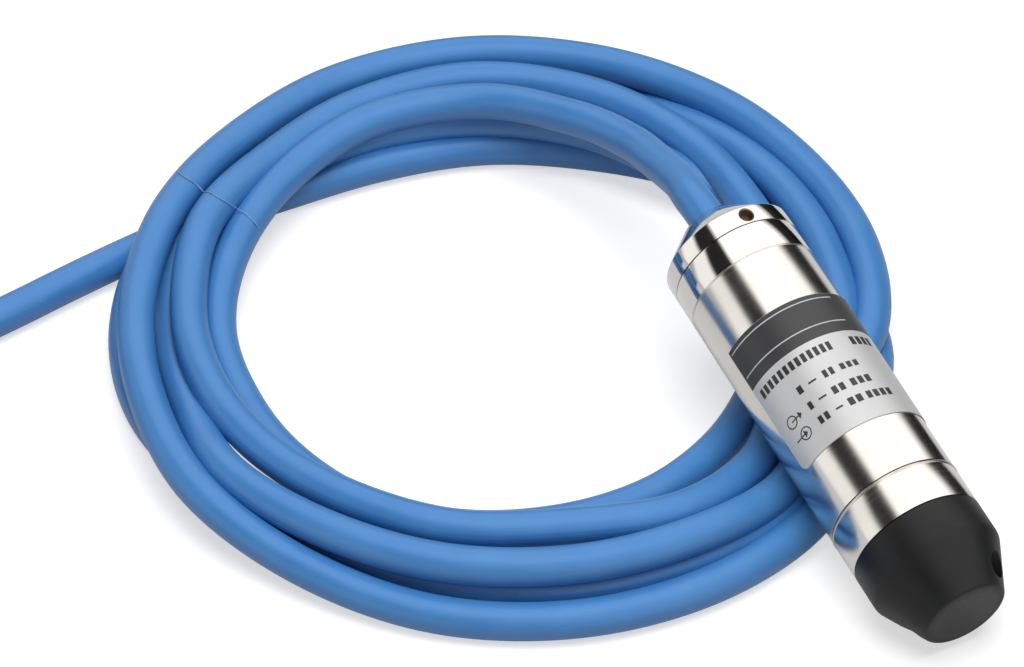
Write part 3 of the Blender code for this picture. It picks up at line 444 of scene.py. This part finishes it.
# Stainless steel turned and then polished on the lathe: mirror-like, with the rings just to be felt
polished_look = turned_metal("polished_stainless_steel", "#dad8d4", "#cfccc7", 0.09, 0.45, 0.10)

# The wall of a drilled hole: rough and dull, with painted shade: a darker, brownish colour that stands for
# the shade inside the hole
drilled_hole_painted_shade_look = turned_metal("drilled_steel_painted_shade", "#a58f75", "#7d6b56", 0.60, 0.30, 0.30)

end_cap = turned("end_cap_finished", [
    (CONE_START, CABLE_BORE), (CONE_START, CONE_END_RADIUS), (0.0, CASE_RADIUS), (END_BAND, CASE_RADIUS),
    (END_BAND, END_THREAD_RADIUS), (O_RING_GROOVE[0], END_THREAD_RADIUS), (O_RING_GROOVE[0], GROOVE_FLOOR),
    (O_RING_GROOVE[1], GROOVE_FLOOR), (O_RING_GROOVE[1], END_THREAD_RADIUS),
    (END_THREAD_END, END_THREAD_RADIUS), (END_THREAD_END, SEAL_SEAT_RADIUS),
    (SEAL_SEAT_TAPER[0], SEAL_SEAT_RADIUS), (SEAL_SEAT_TAPER[1], CABLE_BORE),
    (CONE_START, CABLE_BORE)], polished_look)
# Two blind spanner holes; their walls take the drill's darker brownish colour, which is painted shade
for hole in range(2):
    round_place = (CASE_PLACE @ Matrix.Rotation(SPANNER_HOLE_ANGLE + hole * pi, 4, "Z")
                   @ Matrix.Translation((0, 0, SPANNER_HOLE_PLACE * MM))
                   @ Matrix.Rotation(pi / 2, 4, "Y"))
    drill = turned("spanner_drill", [
        (CASE_RADIUS - SPANNER_HOLE_DEPTH, AT_AXIS),
        (CASE_RADIUS - SPANNER_HOLE_DEPTH, SPANNER_HOLE_RADIUS),
        (CASE_RADIUS - COUNTERSINK_DEPTH, SPANNER_HOLE_RADIUS),
        (CASE_RADIUS + COUNTERSINK_RISE, SPANNER_HOLE_RADIUS + COUNTERSINK_FLARE),
        (CASE_RADIUS + COUNTERSINK_RISE, AT_AXIS)], drilled_hole_painted_shade_look, round_place, 32, 0)
    cut_away(end_cap, drill)
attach(end_cap, "transmitter")
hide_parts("end_cap")

# The gland collar. A short ring with a bulkhead inside, turned from the same bar, pressed into the tube
# and laser welded to it. The weld is dressed flush, and leaves a pale line with small bright ripples.
COLLAR_BACK = 4.1
COLLAR_FRONT = 10.5
COLLAR_THREAD = 10.8
COLLAR_SPIGOT_END = 15.2
SPIGOT_RADIUS = 11.7
SPIGOT_BORE = 9.5
BULKHEAD_BACK = 9.2
BULKHEAD_FRONT = 11.2
collar = turned("gland_collar_finished", [
    (COLLAR_BACK, COLLAR_THREAD), (COLLAR_BACK, CASE_RADIUS), (COLLAR_FRONT, CASE_RADIUS),
    (COLLAR_FRONT, SPIGOT_RADIUS), (COLLAR_SPIGOT_END, SPIGOT_RADIUS), (COLLAR_SPIGOT_END, SPIGOT_BORE),
    (BULKHEAD_FRONT, SPIGOT_BORE), (BULKHEAD_FRONT, CABLE_BORE), (BULKHEAD_BACK, CABLE_BORE),
    (BULKHEAD_BACK, COLLAR_THREAD), (COLLAR_BACK, COLLAR_THREAD)], polished_look)
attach(collar, "transmitter")
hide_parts("gland_collar")

# Laser weld: a pale seam of overlapping pulses about 0.35 mm apart, a little brighter than the steel
weld_look, tree, shader = new_material("laser_weld_seam")
place = add_node(tree, "ShaderNodeTexCoord", {})
pulses = add_node(tree, "ShaderNodeTexVoronoi", {"Vector": place.outputs["Object"], "Scale": 1600.0})
smoke = add_node(tree, "ShaderNodeTexNoise", {"Vector": place.outputs["Object"], "Scale": 260.0})
tint = add_node(tree, "ShaderNodeMix", {"Factor": smoke.outputs["Fac"], "A": linear("#dcd6cc"),
                                        "B": linear("#a89c8e")}, data_type="RGBA")
bump = add_node(tree, "ShaderNodeBump", {"Height": pulses.outputs["Distance"], "Strength": 0.5,
                                         "Distance": 0.00004})
set_inputs(shader, {"Base Color": tint.outputs["Result"], "Metallic": 1.0, "Roughness": 0.30,
                    "Normal": bump.outputs["Normal"]})


WELD_ROOT = CASE_RADIUS - 0.1


def weld_seam(name, middle, half, height):
    """A low rounded bead round the case, closed underneath, in mm."""
    bead = turned(name, [
        (middle - half, WELD_ROOT), (middle - half, CASE_RADIUS),
        (middle - half * 0.6, CASE_RADIUS + height * 0.8), (middle, CASE_RADIUS + height),
        (middle + half * 0.6, CASE_RADIUS + height * 0.8), (middle + half, CASE_RADIUS),
        (middle + half, WELD_ROOT), (middle - half, WELD_ROOT)], weld_look, edge=0)
    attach(bead, "transmitter")


weld_seam("collar_weld", middle=10.6, half=0.20, height=0.02)

# The case tube. Drawn stainless tube, turned to length and linished, so that its shine is softer and
# runs along it in long even streaks.
tube_look = turned_metal("linished_stainless_tube", "#d8d5d0", "#cac7c1", 0.19, 0.35, 0.22)
TUBE_BACK = 10.7
TUBE_FRONT = 65.6
TUBE_BORE = 12.0
tube = turned("case_tube_finished", [
    (TUBE_BACK, TUBE_BORE), (TUBE_BACK, CASE_RADIUS), (TUBE_FRONT, CASE_RADIUS), (TUBE_FRONT, TUBE_BORE),
    (TUBE_BACK, TUBE_BORE)], tube_look)
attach(tube, "transmitter")
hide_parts("case_tube")

# The sensor body. A welded-in front part with the thread for the nose cap, turned from stainless bar.
# Its weld stands up as a thin bead; the thread has a 1 mm pitch.
SENSOR_SPIGOT_END = 61.8
SENSOR_BACK = 65.8
SENSOR_FRONT = 74.4
SENSOR_END = 80.3
HEADER_BACK = 66.2
HEADER_BORE = 5.7
CELL_SEAT = 69.6
CELL_BORE = 8.3
THREAD_START = 74.8
THREAD_TURNS = 5
THREAD_CREST = 11.2
THREAD_ROOT = 10.6
# One turn of thread: distance along it and radius
THREAD_FORM = ((0.0, THREAD_ROOT), (0.35, THREAD_CREST), (0.65, THREAD_CREST), (1.0, THREAD_ROOT))
sensor_outline = [(SENSOR_SPIGOT_END, SPIGOT_BORE), (SENSOR_SPIGOT_END, SPIGOT_RADIUS),
                  (SENSOR_BACK, SPIGOT_RADIUS), (SENSOR_BACK, CASE_RADIUS), (SENSOR_FRONT, CASE_RADIUS),
                  (SENSOR_FRONT, THREAD_ROOT)]
for turn in range(THREAD_TURNS):
    sensor_outline += [(THREAD_START + turn + run, radius) for run, radius in THREAD_FORM]
sensor_outline += [(SENSOR_END, THREAD_ROOT), (SENSOR_END, CELL_BORE), (CELL_SEAT, CELL_BORE),
                   (CELL_SEAT, HEADER_BORE), (HEADER_BACK, HEADER_BORE), (HEADER_BACK, SPIGOT_BORE),
                   (SENSOR_SPIGOT_END, SPIGOT_BORE)]
sensor = turned("sensor_body_finished", sensor_outline, tube_look, edge=0.06)
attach(sensor, "transmitter")
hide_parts("sensor_body")
weld_seam("sensor_weld", middle=66.15, half=0.30, height=0.11)

# The label. Matte silver polyester foil, printed, cut with rounded corners and stuck round the tube.
# It carries a charcoal band with two pinstripes, and plain bars and two marks where the print is.
LABEL_BACK = 23.7
LABEL_ARC = 54.2
LABEL_LENGTH = 30.3
LABEL_ANGLE = radians(77.5)
LABEL_UNDERSIDE = CASE_RADIUS + 0.08
LABEL_THICKNESS = 0.15
LABEL_CORNER = 2.0
BAND_LENGTH = 9.65
BAND_INSET = 0.05
PINSTRIPES = (1.1, 7.0)
PINSTRIPE_SPAN = (0.6, 25.4)
PINSTRIPE_HALF = 0.12
INK_THICKNESS = 0.02
BEND_STEP = 1.0
# Each bar of print: start and end round the label, middle and height along it, in mm
PRINT_BARS = [
    (1.6, 18.7, 12.2, 2.0), (23.2, 29.0, 12.2, 2.0),
    (8.5, 9.6, 17.4, 1.7), (11.0, 12.7, 17.4, 0.4), (14.2, 16.4, 17.4, 1.7), (17.8, 21.7, 17.4, 1.4),
    (8.7, 9.6, 21.4, 1.7), (11.0, 12.7, 21.4, 0.4), (14.0, 16.6, 21.4, 1.7), (17.9, 22.2, 21.4, 1.7),
    (8.9, 11.2, 25.1, 1.7), (12.7, 14.2, 25.1, 0.4), (15.4, 18.3, 25.1, 1.7), (19.3, 25.0, 25.1, 1.7),
]
BLOCK_PITCH = 1.35
BLOCK_GAP = 0.48
# Each mark is a ring with an arrow: the ring's middle, and the start and end of the arrow's shaft
MARKS = (((4.1, 21.3), (4.1, 6.2)), ((5.4, 25.1), (2.6, 5.2)))
MARK_RADIUS = 1.35
MARK_LINE = 0.26
SHAFT_HALF = 0.14
ARROW_STEPS = (0.75, 0.5, 0.25)
ARROW_REACH = (0.6, 0.85)


def flat_bar(left, right, back, front, corner=0.0):
    """A flat bar on the table's plane, in mm of the label; its corners rounded if asked."""
    bpy.ops.object.select_all(action="DESELECT")
    bpy.ops.mesh.primitive_plane_add(size=1, location=((left + right) / 2, (back + front) / 2, 0))
    made = bpy.context.object
    made.scale = (right - left, front - back, 1)
    bpy.ops.object.transform_apply(location=True, rotation=True, scale=True)
    if corner:
        bpy.ops.object.mode_set(mode="EDIT")
        bpy.ops.mesh.select_all(action="SELECT")
        bpy.ops.mesh.bevel(offset=corner, segments=6, affect="VERTICES")
        bpy.ops.object.mode_set(mode="OBJECT")
    return made


def flat_ring(middle, radius, width):
    """A flat ring, in mm of the label."""
    bpy.ops.object.select_all(action="DESELECT")
    bpy.ops.mesh.primitive_circle_add(vertices=32, radius=radius, location=(*middle, 0))
    made = bpy.context.object
    bpy.ops.object.transform_apply(location=True, rotation=True, scale=True)
    bpy.ops.object.mode_set(mode="EDIT")
    bpy.ops.mesh.select_all(action="SELECT")
    inner = (radius - width) / radius
    bpy.ops.mesh.extrude_region_move()
    bpy.ops.transform.resize(value=(inner, inner, 1), center_override=(*middle, 0))
    bpy.ops.object.mode_set(mode="OBJECT")
    return made


def stuck_round_case(name, parts, look, underside, thickness):
    """Joins flat parts, cuts them into narrow strips, thickens them and bends them round the case."""
    bpy.ops.object.select_all(action="DESELECT")
    for part in parts:
        part.select_set(True)
    made = parts[0]
    bpy.context.view_layer.objects.active = made
    if len(parts) > 1:
        bpy.ops.object.join()
    made.name = name
    bpy.ops.object.mode_set(mode="EDIT")
    strips = int(LABEL_ARC / BEND_STEP)
    for strip in range(1, strips + 1):
        bpy.ops.mesh.select_all(action="SELECT")
        bpy.ops.mesh.bisect(plane_co=(strip * BEND_STEP, 0, 0), plane_no=(1, 0, 0))
    bpy.ops.mesh.select_all(action="SELECT")
    bpy.ops.mesh.normals_make_consistent(inside=False)
    bpy.ops.object.mode_set(mode="OBJECT")
    wall = made.modifiers.new("thickness", "SOLIDIFY")
    wall.thickness = thickness
    wall.offset = 1.0
    bpy.ops.object.modifier_apply(modifier=wall.name)
    for vertex in made.data.vertices:
        angle = LABEL_ANGLE - vertex.co.x / CASE_RADIUS
        out = underside + max(vertex.co.z, 0.0)
        vertex.co = CASE_PLACE @ Vector((out * cos(angle) * MM, out * sin(angle) * MM,
                                         (LABEL_BACK + vertex.co.y) * MM))
    bpy.ops.object.mode_set(mode="EDIT")
    bpy.ops.mesh.select_all(action="SELECT")
    bpy.ops.mesh.normals_make_consistent(inside=False)
    bpy.ops.object.mode_set(mode="OBJECT")
    made.data.materials.clear()
    made.data.materials.append(look)
    bpy.ops.object.shade_smooth_by_angle(angle=radians(35))
    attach(made, "transmitter")
    return made


# Silver-pigmented polyester film: pale matte grey with a fine metal fleck of about 0.1 mm
foil_look, tree, shader = new_material("matte_silver_polyester_film")
place = add_node(tree, "ShaderNodeTexCoord", {})
fleck = add_node(tree, "ShaderNodeTexNoise", {"Vector": place.outputs["Object"], "Scale": 9000.0})
cloud = add_node(tree, "ShaderNodeTexNoise", {"Vector": place.outputs["Object"], "Scale": 120.0})
tint = add_node(tree, "ShaderNodeMix", {"Factor": fleck.outputs["Fac"], "A": linear("#bfbfbf"),
                                        "B": linear("#cdcdcc")}, data_type="RGBA")
sheen = add_node(tree, "ShaderNodeMapRange", {"Value": cloud.outputs["Fac"], "To Min": 0.40,
                                              "To Max": 0.52})
set_inputs(shader, {"Base Color": tint.outputs["Result"], "Metallic": 0.25,
                    "Roughness": sheen.outputs["Result"]})

# Screen-printed ink: charcoal for the band, near black for the print, both flat and faintly grained
band_look = plastic_look("charcoal_screen_ink", "#2b2b2c", "#343436", 0.48, 0.3, 0.10)
print_look = plastic_look("black_screen_ink", "#1d1d1f", "#29292b", 0.46, 0.3, 0.10)
stripe_look = plastic_look("pale_screen_ink", "#b9bcc0", "#c6c8cb", 0.45, 0.3, 0.10)

label = stuck_round_case("label_finished", [flat_bar(0, LABEL_ARC, 0, LABEL_LENGTH, LABEL_CORNER)],
                         foil_look, LABEL_UNDERSIDE, LABEL_THICKNESS)
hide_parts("label_foil")
label_top = LABEL_UNDERSIDE + LABEL_THICKNESS
band = flat_bar(BAND_INSET, LABEL_ARC - BAND_INSET, BAND_INSET, BAND_LENGTH)
stuck_round_case("label_band", [band], band_look, label_top, INK_THICKNESS)
stripes = [flat_bar(*PINSTRIPE_SPAN, middle - PINSTRIPE_HALF, middle + PINSTRIPE_HALF)
           for middle in PINSTRIPES]
stuck_round_case("label_pinstripes", stripes, stripe_look, label_top + INK_THICKNESS, INK_THICKNESS)
blocks = []
for left, right, middle, height in PRINT_BARS:
    count = max(1, round((right - left) / BLOCK_PITCH))
    width = (right - left + BLOCK_GAP) / count
    for block in range(count):
        start = left + block * width
        blocks.append(flat_bar(start, start + width - BLOCK_GAP, middle - height / 2,
                               middle + height / 2))
for ring, shaft in MARKS:
    blocks.append(flat_ring(ring, MARK_RADIUS, MARK_LINE))
    blocks.append(flat_bar(*shaft, ring[1] - SHAFT_HALF, ring[1] + SHAFT_HALF))
    for size in ARROW_STEPS:
        blocks.append(flat_bar(shaft[1] + ARROW_REACH[0] - size, shaft[1] + ARROW_REACH[1] - size,
                               ring[1] - size, ring[1] + size))
stuck_round_case("label_print", blocks, print_look, label_top, INK_THICKNESS)

# The nose cap. A black acetal cap that guards the diaphragm, turned from rod, screwed on, and drilled
# across for the water. It slides off along the axis.
NOSE_BACK = 74.6
NOSE_CORNER = 81.8
NOSE_FACE = 92.3
NOSE_FACE_RADIUS = 8.5
NOSE_ROUND = 3.0
NOSE_RIM = 1.0
NOSE_WALL = 2.3
NOSE_SEAT = 80.6
NOSE_THREAD = 11.5
PORT_RADIUS = 2.4
PORT_REACH = 16.0
PORT_PLACE = 88.2
PORT_ANGLE = radians(-51.5)
taper = atan2(CASE_RADIUS - NOSE_FACE_RADIUS, NOSE_FACE - NOSE_CORNER)


def rounded(centre, radius, start, end, steps):
    """Points of an arc in an outline, its angles measured from straight out towards the nose."""
    found = []
    for step in range(steps + 1):
        angle = start + (end - start) * step / steps
        found.append((centre[0] + radius * sin(angle), centre[1] + radius * cos(angle)))
    return found


# Acetal, turned and then rubbed: black, matte, with soft grey rings where the tool has left them
acetal_look, tree, shader = new_material("turned_black_acetal")
spot, along, away = case_coordinates(tree)
ring = add_node(tree, "ShaderNodeMath", {0: along, 1: away}, operation="ADD")
tool_rings = add_node(tree, "ShaderNodeTexNoise", {
    "W": ring.outputs["Value"], "Scale": 1800.0, "Detail": 3.0}, noise_dimensions="1D")
wide_rings = add_node(tree, "ShaderNodeTexNoise", {
    "W": ring.outputs["Value"], "Scale": 420.0, "Detail": 1.0}, noise_dimensions="1D")
rub = add_node(tree, "ShaderNodeTexNoise", {"Vector": spot, "Scale": 140.0, "Detail": 4.0})
grey = add_node(tree, "ShaderNodeMath", {0: wide_rings.outputs["Fac"], 1: rub.outputs["Fac"]},
                operation="MULTIPLY")
tint = add_node(tree, "ShaderNodeMix", {"Factor": grey.outputs["Value"], "A": linear("#060708"),
                                        "B": linear("#131416")}, data_type="RGBA")
sheen = add_node(tree, "ShaderNodeMapRange", {"Value": rub.outputs["Fac"], "To Min": 0.38,
                                              "To Max": 0.58})
bump = add_node(tree, "ShaderNodeBump", {"Height": tool_rings.outputs["Fac"], "Strength": 0.30,
                                         "Distance": 0.00004})
set_inputs(shader, {"Base Color": tint.outputs["Result"], "Roughness": sheen.outputs["Result"],
                    "Normal": bump.outputs["Normal"], "IOR": 1.48,
                    "Specular IOR Level": 0.32})

shoulder_run = NOSE_ROUND * tan(taper / 2)
rim_run = NOSE_RIM * tan((pi / 2 - taper) / 2)
inset = NOSE_WALL / cos(taper)
floor_at = NOSE_FACE - NOSE_WALL
floor_radius = CASE_RADIUS - (floor_at - NOSE_CORNER) * tan(taper) - inset
nose_outline = [(NOSE_BACK, NOSE_THREAD), (NOSE_BACK, CASE_RADIUS)]
nose_outline += rounded((NOSE_CORNER - shoulder_run, CASE_RADIUS - NOSE_ROUND), NOSE_ROUND,
                        0.0, taper, 8)
nose_outline += rounded((NOSE_FACE - NOSE_RIM, NOSE_FACE_RADIUS - rim_run), NOSE_RIM, taper, pi / 2, 6)
nose_outline += [(NOSE_FACE, AT_AXIS), (floor_at, AT_AXIS), (floor_at, floor_radius),
                 (NOSE_CORNER, CASE_RADIUS - inset), (NOSE_SEAT, NOSE_THREAD), (NOSE_BACK, NOSE_THREAD)]
nose = turned("nose_cap_finished", nose_outline, acetal_look, edge=0.10)
port_place = (CASE_PLACE @ Matrix.Rotation(PORT_ANGLE, 4, "Z")
              @ Matrix.Translation((0, 0, PORT_PLACE * MM)) @ Matrix.Rotation(pi / 2, 4, "Y"))
drill = turned("port_drill", [
    (-PORT_REACH, AT_AXIS), (-PORT_REACH, PORT_RADIUS), (PORT_REACH, PORT_RADIUS),
    (PORT_REACH, AT_AXIS)], acetal_look, port_place, 48, 0)
cut_away(nose, drill)
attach(nose, "cap")
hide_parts("nose_cap")

# Inside the case. The gland's seal, washer and ferrule, the measuring cell with its ring and diaphragm,
# and the board on its carrier keep their CAD shapes, and get the finish of the real parts here.

# Metals: the cell is turned fine, soft grey with close rings; the rolled diaphragm is smoother and
# brighter; the ferrule is yellow brass
cell_look = turned_metal("fine_turned_316l_steel", "#cfccc8", "#bfbcb8", 0.26, 0.25, 0.15)
foil_disc_look = turned_metal("rolled_316l_diaphragm", "#d8d6d2", "#cbc8c4", 0.14, 0.60, 0.05)
brass_look = turned_metal("turned_brass", "#d8b66a", "#b8924c", 0.24, 0.30, 0.15)

# Rubber and plastics: the nitrile seals are dull with a fine grain, the shrunk sleeve is thin and shiny,
# the carrier and terminal block are satin mouldings, and the chips are sandy black epoxy
nitrile_look = plastic_look("moulded_nitrile_rubber", "#151516", "#202022", 0.62, 0.25, 0.35, 1.52)
sleeve_look = plastic_look("heat_shrunk_polyester_sleeve", "#cfc9b8", "#dcd6c6", 0.30, 0.9, 0.10, 1.57)
carrier_look = plastic_look("moulded_glass_filled_nylon", "#c9c6bb", "#d6d3c9", 0.50, 0.35, 0.30, 1.53)
terminal_look = plastic_look("moulded_green_polyamide", "#2c7a45", "#348850", 0.42, 0.4, 0.20, 1.53)
chip_look = plastic_look("moulded_epoxy_package", "#161718", "#222325", 0.55, 0.12, 0.40, 1.55)

# The arrestor is glazed white ceramic, the capacitor wears a dark sleeve, and the ribbon is amber film
ceramic_look = plastic_look("glazed_alumina", "#e2ded4", "#ece9e1", 0.18, 1.5, 0.05, 1.76)
capacitor_look = plastic_look("printed_pvc_sleeve", "#23272e", "#2d323a", 0.36, 0.8, 0.08)
ribbon_look = plastic_look("amber_polyimide_ribbon", "#b5702a", "#c98238", 0.28, 1.0, 0.10, 1.70)

# Circuit board: green solder mask on glass cloth, with copper tracks 0.8 mm apart showing paler under it
board_look, tree, shader = new_material("solder_masked_glass_epoxy")
place = add_node(tree, "ShaderNodeTexCoord", {})
tracks = add_node(tree, "ShaderNodeTexBrick", {
    "Vector": place.outputs["Object"], "Scale": 400.0, "Mortar Size": 0.06, "Color1": linear("#1f5c36"),
    "Color2": linear("#23643b"), "Mortar": linear("#3f8a58")})
weave = add_node(tree, "ShaderNodeTexNoise", {"Vector": place.outputs["Object"], "Scale": 2500.0})
bump = add_node(tree, "ShaderNodeBump", {"Height": weave.outputs["Fac"], "Strength": 0.15,
                                         "Distance": 0.00003})
set_inputs(shader, {"Base Color": tracks.outputs["Color"], "Roughness": 0.32,
                    "Normal": bump.outputs["Normal"], "IOR": 1.55})

# The jacket inside the gland, the same polyurethane as outside
gland_cable_look = plastic_look("extruded_polyurethane_in_gland", JACKET_BLUE, JACKET_BLUE_WORN,
                                0.45, 0.8, 0.08)

for look, nodes in (
        (nitrile_look, ("end_cap_o_ring", "gland_seal", "cell_o_ring")),
        (cell_look, ("gland_washer", "measuring_cell", "cell_retaining_ring")),
        (foil_disc_look, ("diaphragm",)), (brass_look, ("strain_relief_ferrule",)),
        (sleeve_look, ("insulating_sleeve",)), (carrier_look, ("board_carrier",)),
        (board_look, ("circuit_board",)), (terminal_look, ("terminal_block",)),
        (chip_look, ("amplifier_chip", "regulator_chip")), (ceramic_look, ("surge_arrestor",)),
        (capacitor_look, ("smoothing_capacitor",)), (ribbon_look, ("cell_ribbon",)),
        (red_core_look, ("conductor_red",)), (black_core_look, ("conductor_black",)),
        (tinned_look, ("shield_drain",)), (vent_look, ("vent_tube",)),
        (gland_cable_look, ("cable_in_gland",))):
    for node in nodes:
        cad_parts[node].material_slots[0].material = look

# The floor. White studio paper, which reads as pure white to the camera but keeps the object's shadow.
# Its glow for the camera's rays is full, and less for what the steel reflects.
FLOOR_GLOW = 0.60
FLOOR_GLOW_IN_STEEL = 0.45
bpy.ops.object.select_all(action="DESELECT")
bpy.ops.mesh.primitive_plane_add(size=6.0, location=(0, 0, 0))
floor = bpy.context.object
floor.name = "studio_floor"
paper_look, tree, shader = new_material("white_studio_paper")
place = add_node(tree, "ShaderNodeTexCoord", {})
fibre = add_node(tree, "ShaderNodeTexNoise", {"Vector": place.outputs["Object"], "Scale": 700.0})
tint = add_node(tree, "ShaderNodeMix", {"Factor": fibre.outputs["Fac"], "A": linear("#bdbdbd"),
                                        "B": linear("#c4c4c4")}, data_type="RGBA")
rays = add_node(tree, "ShaderNodeLightPath", {})
mirrored = add_node(tree, "ShaderNodeMath", {0: rays.outputs["Is Glossy Ray"], 1: FLOOR_GLOW_IN_STEEL},
                    operation="MULTIPLY")
seen = add_node(tree, "ShaderNodeMath", {0: rays.outputs["Is Camera Ray"], 1: mirrored.outputs["Value"]},
                operation="MAXIMUM")
seen = add_node(tree, "ShaderNodeMath", {0: seen.outputs["Value"], 1: rays.outputs["Is Transmission Ray"]},
                operation="MAXIMUM")
lift = add_node(tree, "ShaderNodeMath", {0: seen.outputs["Value"], 1: FLOOR_GLOW}, operation="MULTIPLY")
set_inputs(shader, {"Base Color": tint.outputs["Result"], "Roughness": 0.9, "Specular IOR Level": 0.0,
                    "Emission Color": linear("#ffffff"), "Emission Strength": lift.outputs["Value"]})
floor.data.materials.append(paper_look)

# A black card stands along the case, seen only in its reflection, and gives the steel its dark streak.
# Its middle and size are in metres in the case's own frame.
CARD_MIDDLE = (0.0025, -0.060, 0.043)
CARD_SIZE = (0.017, 0.30)
bpy.ops.object.select_all(action="DESELECT")
bpy.ops.mesh.primitive_plane_add(size=1.0, location=(0, 0, 0))
card = bpy.context.object
card.name = "black_card"
card.matrix_world = (CASE_PLACE @ Matrix.Translation(CARD_MIDDLE) @ Matrix.Rotation(pi / 2, 4, "X")
                     @ Matrix.Diagonal((*CARD_SIZE, 1.0, 1.0)))
card_look, tree, shader = new_material("black_card_stock")
set_inputs(shader, {"Base Color": linear("#050505"), "Roughness": 0.9})
card.data.materials.append(card_look)
card.visible_camera = False
card.visible_diffuse = False
card.visible_shadow = False
card.visible_transmission = False

# The studio. One large soft lamp overhead and a weaker one at the camera's side; the world is a plain
# grey room, white behind the object, with a bright ceiling and dark walls for the steel to reflect.
# The room's bands run round the case's axis: an angle in degrees, and how bright the room is there.
ROOM_BANDS = ((-180, 0.25), (-110, 0.10), (-90, 0.012), (-76, 0.015), (-61, 1.0), (27, 1.0), (34, 0.015),
              (61, 0.015), (68, 0.75), (92, 0.75), (100, 0.35), (180, 0.25))
ROOM_BRIGHTNESS = 1.75
ROOM_GREY = (0.20, 0.20, 0.22, 1)
CASE_UP = (0.22495, 0, 0.97437)
CASE_SIDE = (0, -1, 0)
for name, place, size, power in (("overhead_lamp", (0.15, -0.05, 1.30), 1.1, 17.0),
                                 ("side_lamp", (0.9, -0.9, 0.7), 0.8, 1.2)):
    lamp_data = bpy.data.lights.new(name, "AREA")
    lamp_data.shape = "DISK"
    lamp_data.size = size
    lamp_data.energy = power
    lamp = bpy.data.objects.new(name, lamp_data)
    bpy.context.scene.collection.objects.link(lamp)
    lamp.location = place
    lamp.rotation_euler = (-Vector(place)).to_track_quat("-Z", "Y").to_euler()
    lamp.visible_glossy = False
    lamp.visible_camera = False

world = bpy.data.worlds.new("studio")
world.use_nodes = True
bpy.context.scene.world = world
tree = world.node_tree
backdrop = tree.nodes["Background"]
direction = add_node(tree, "ShaderNodeTexCoord", {})
up_part = add_node(tree, "ShaderNodeVectorMath", {0: direction.outputs["Generated"], 1: CASE_UP},
                   operation="DOT_PRODUCT")
side_part = add_node(tree, "ShaderNodeVectorMath", {0: direction.outputs["Generated"], 1: CASE_SIDE},
                     operation="DOT_PRODUCT")
angle = add_node(tree, "ShaderNodeMath", {0: side_part.outputs["Value"], 1: up_part.outputs["Value"]},
                 operation="ARCTAN2")
turn = add_node(tree, "ShaderNodeMapRange", {"Value": angle.outputs["Value"], "From Min": -pi,
                                             "From Max": pi})
walls = add_node(tree, "ShaderNodeValToRGB", {"Fac": turn.outputs["Result"]})
ramp = walls.color_ramp.elements
while len(ramp) < len(ROOM_BANDS):
    ramp.new(0.5)
for element, (degrees_round, _) in zip(ramp, ROOM_BANDS):
    element.position = degrees_round / 360 + 0.5
for element, (_, bright) in zip(ramp, ROOM_BANDS):
    element.color = (bright, bright * 0.992, bright * 0.975, 1.0)
strong = add_node(tree, "ShaderNodeVectorMath", {0: walls.outputs["Color"], "Scale": ROOM_BRIGHTNESS},
                  operation="SCALE")
rays = add_node(tree, "ShaderNodeLightPath", {})
plain = add_node(tree, "ShaderNodeMix", {"Factor": rays.outputs["Is Glossy Ray"], "A": ROOM_GREY,
                                         "B": strong.outputs["Vector"]}, data_type="RGBA")
white = add_node(tree, "ShaderNodeMath", {0: rays.outputs["Is Camera Ray"],
                                          1: rays.outputs["Is Transmission Ray"]}, operation="MAXIMUM")
seen = add_node(tree, "ShaderNodeMix", {"Factor": white.outputs["Value"], "A": plain.outputs["Result"],
                                        "B": (1, 1, 1, 1)}, data_type="RGBA")
set_inputs(backdrop, {"Color": seen.outputs["Result"], "Strength": 1.0})
bpy.context.scene.view_settings.view_transform = "Standard"
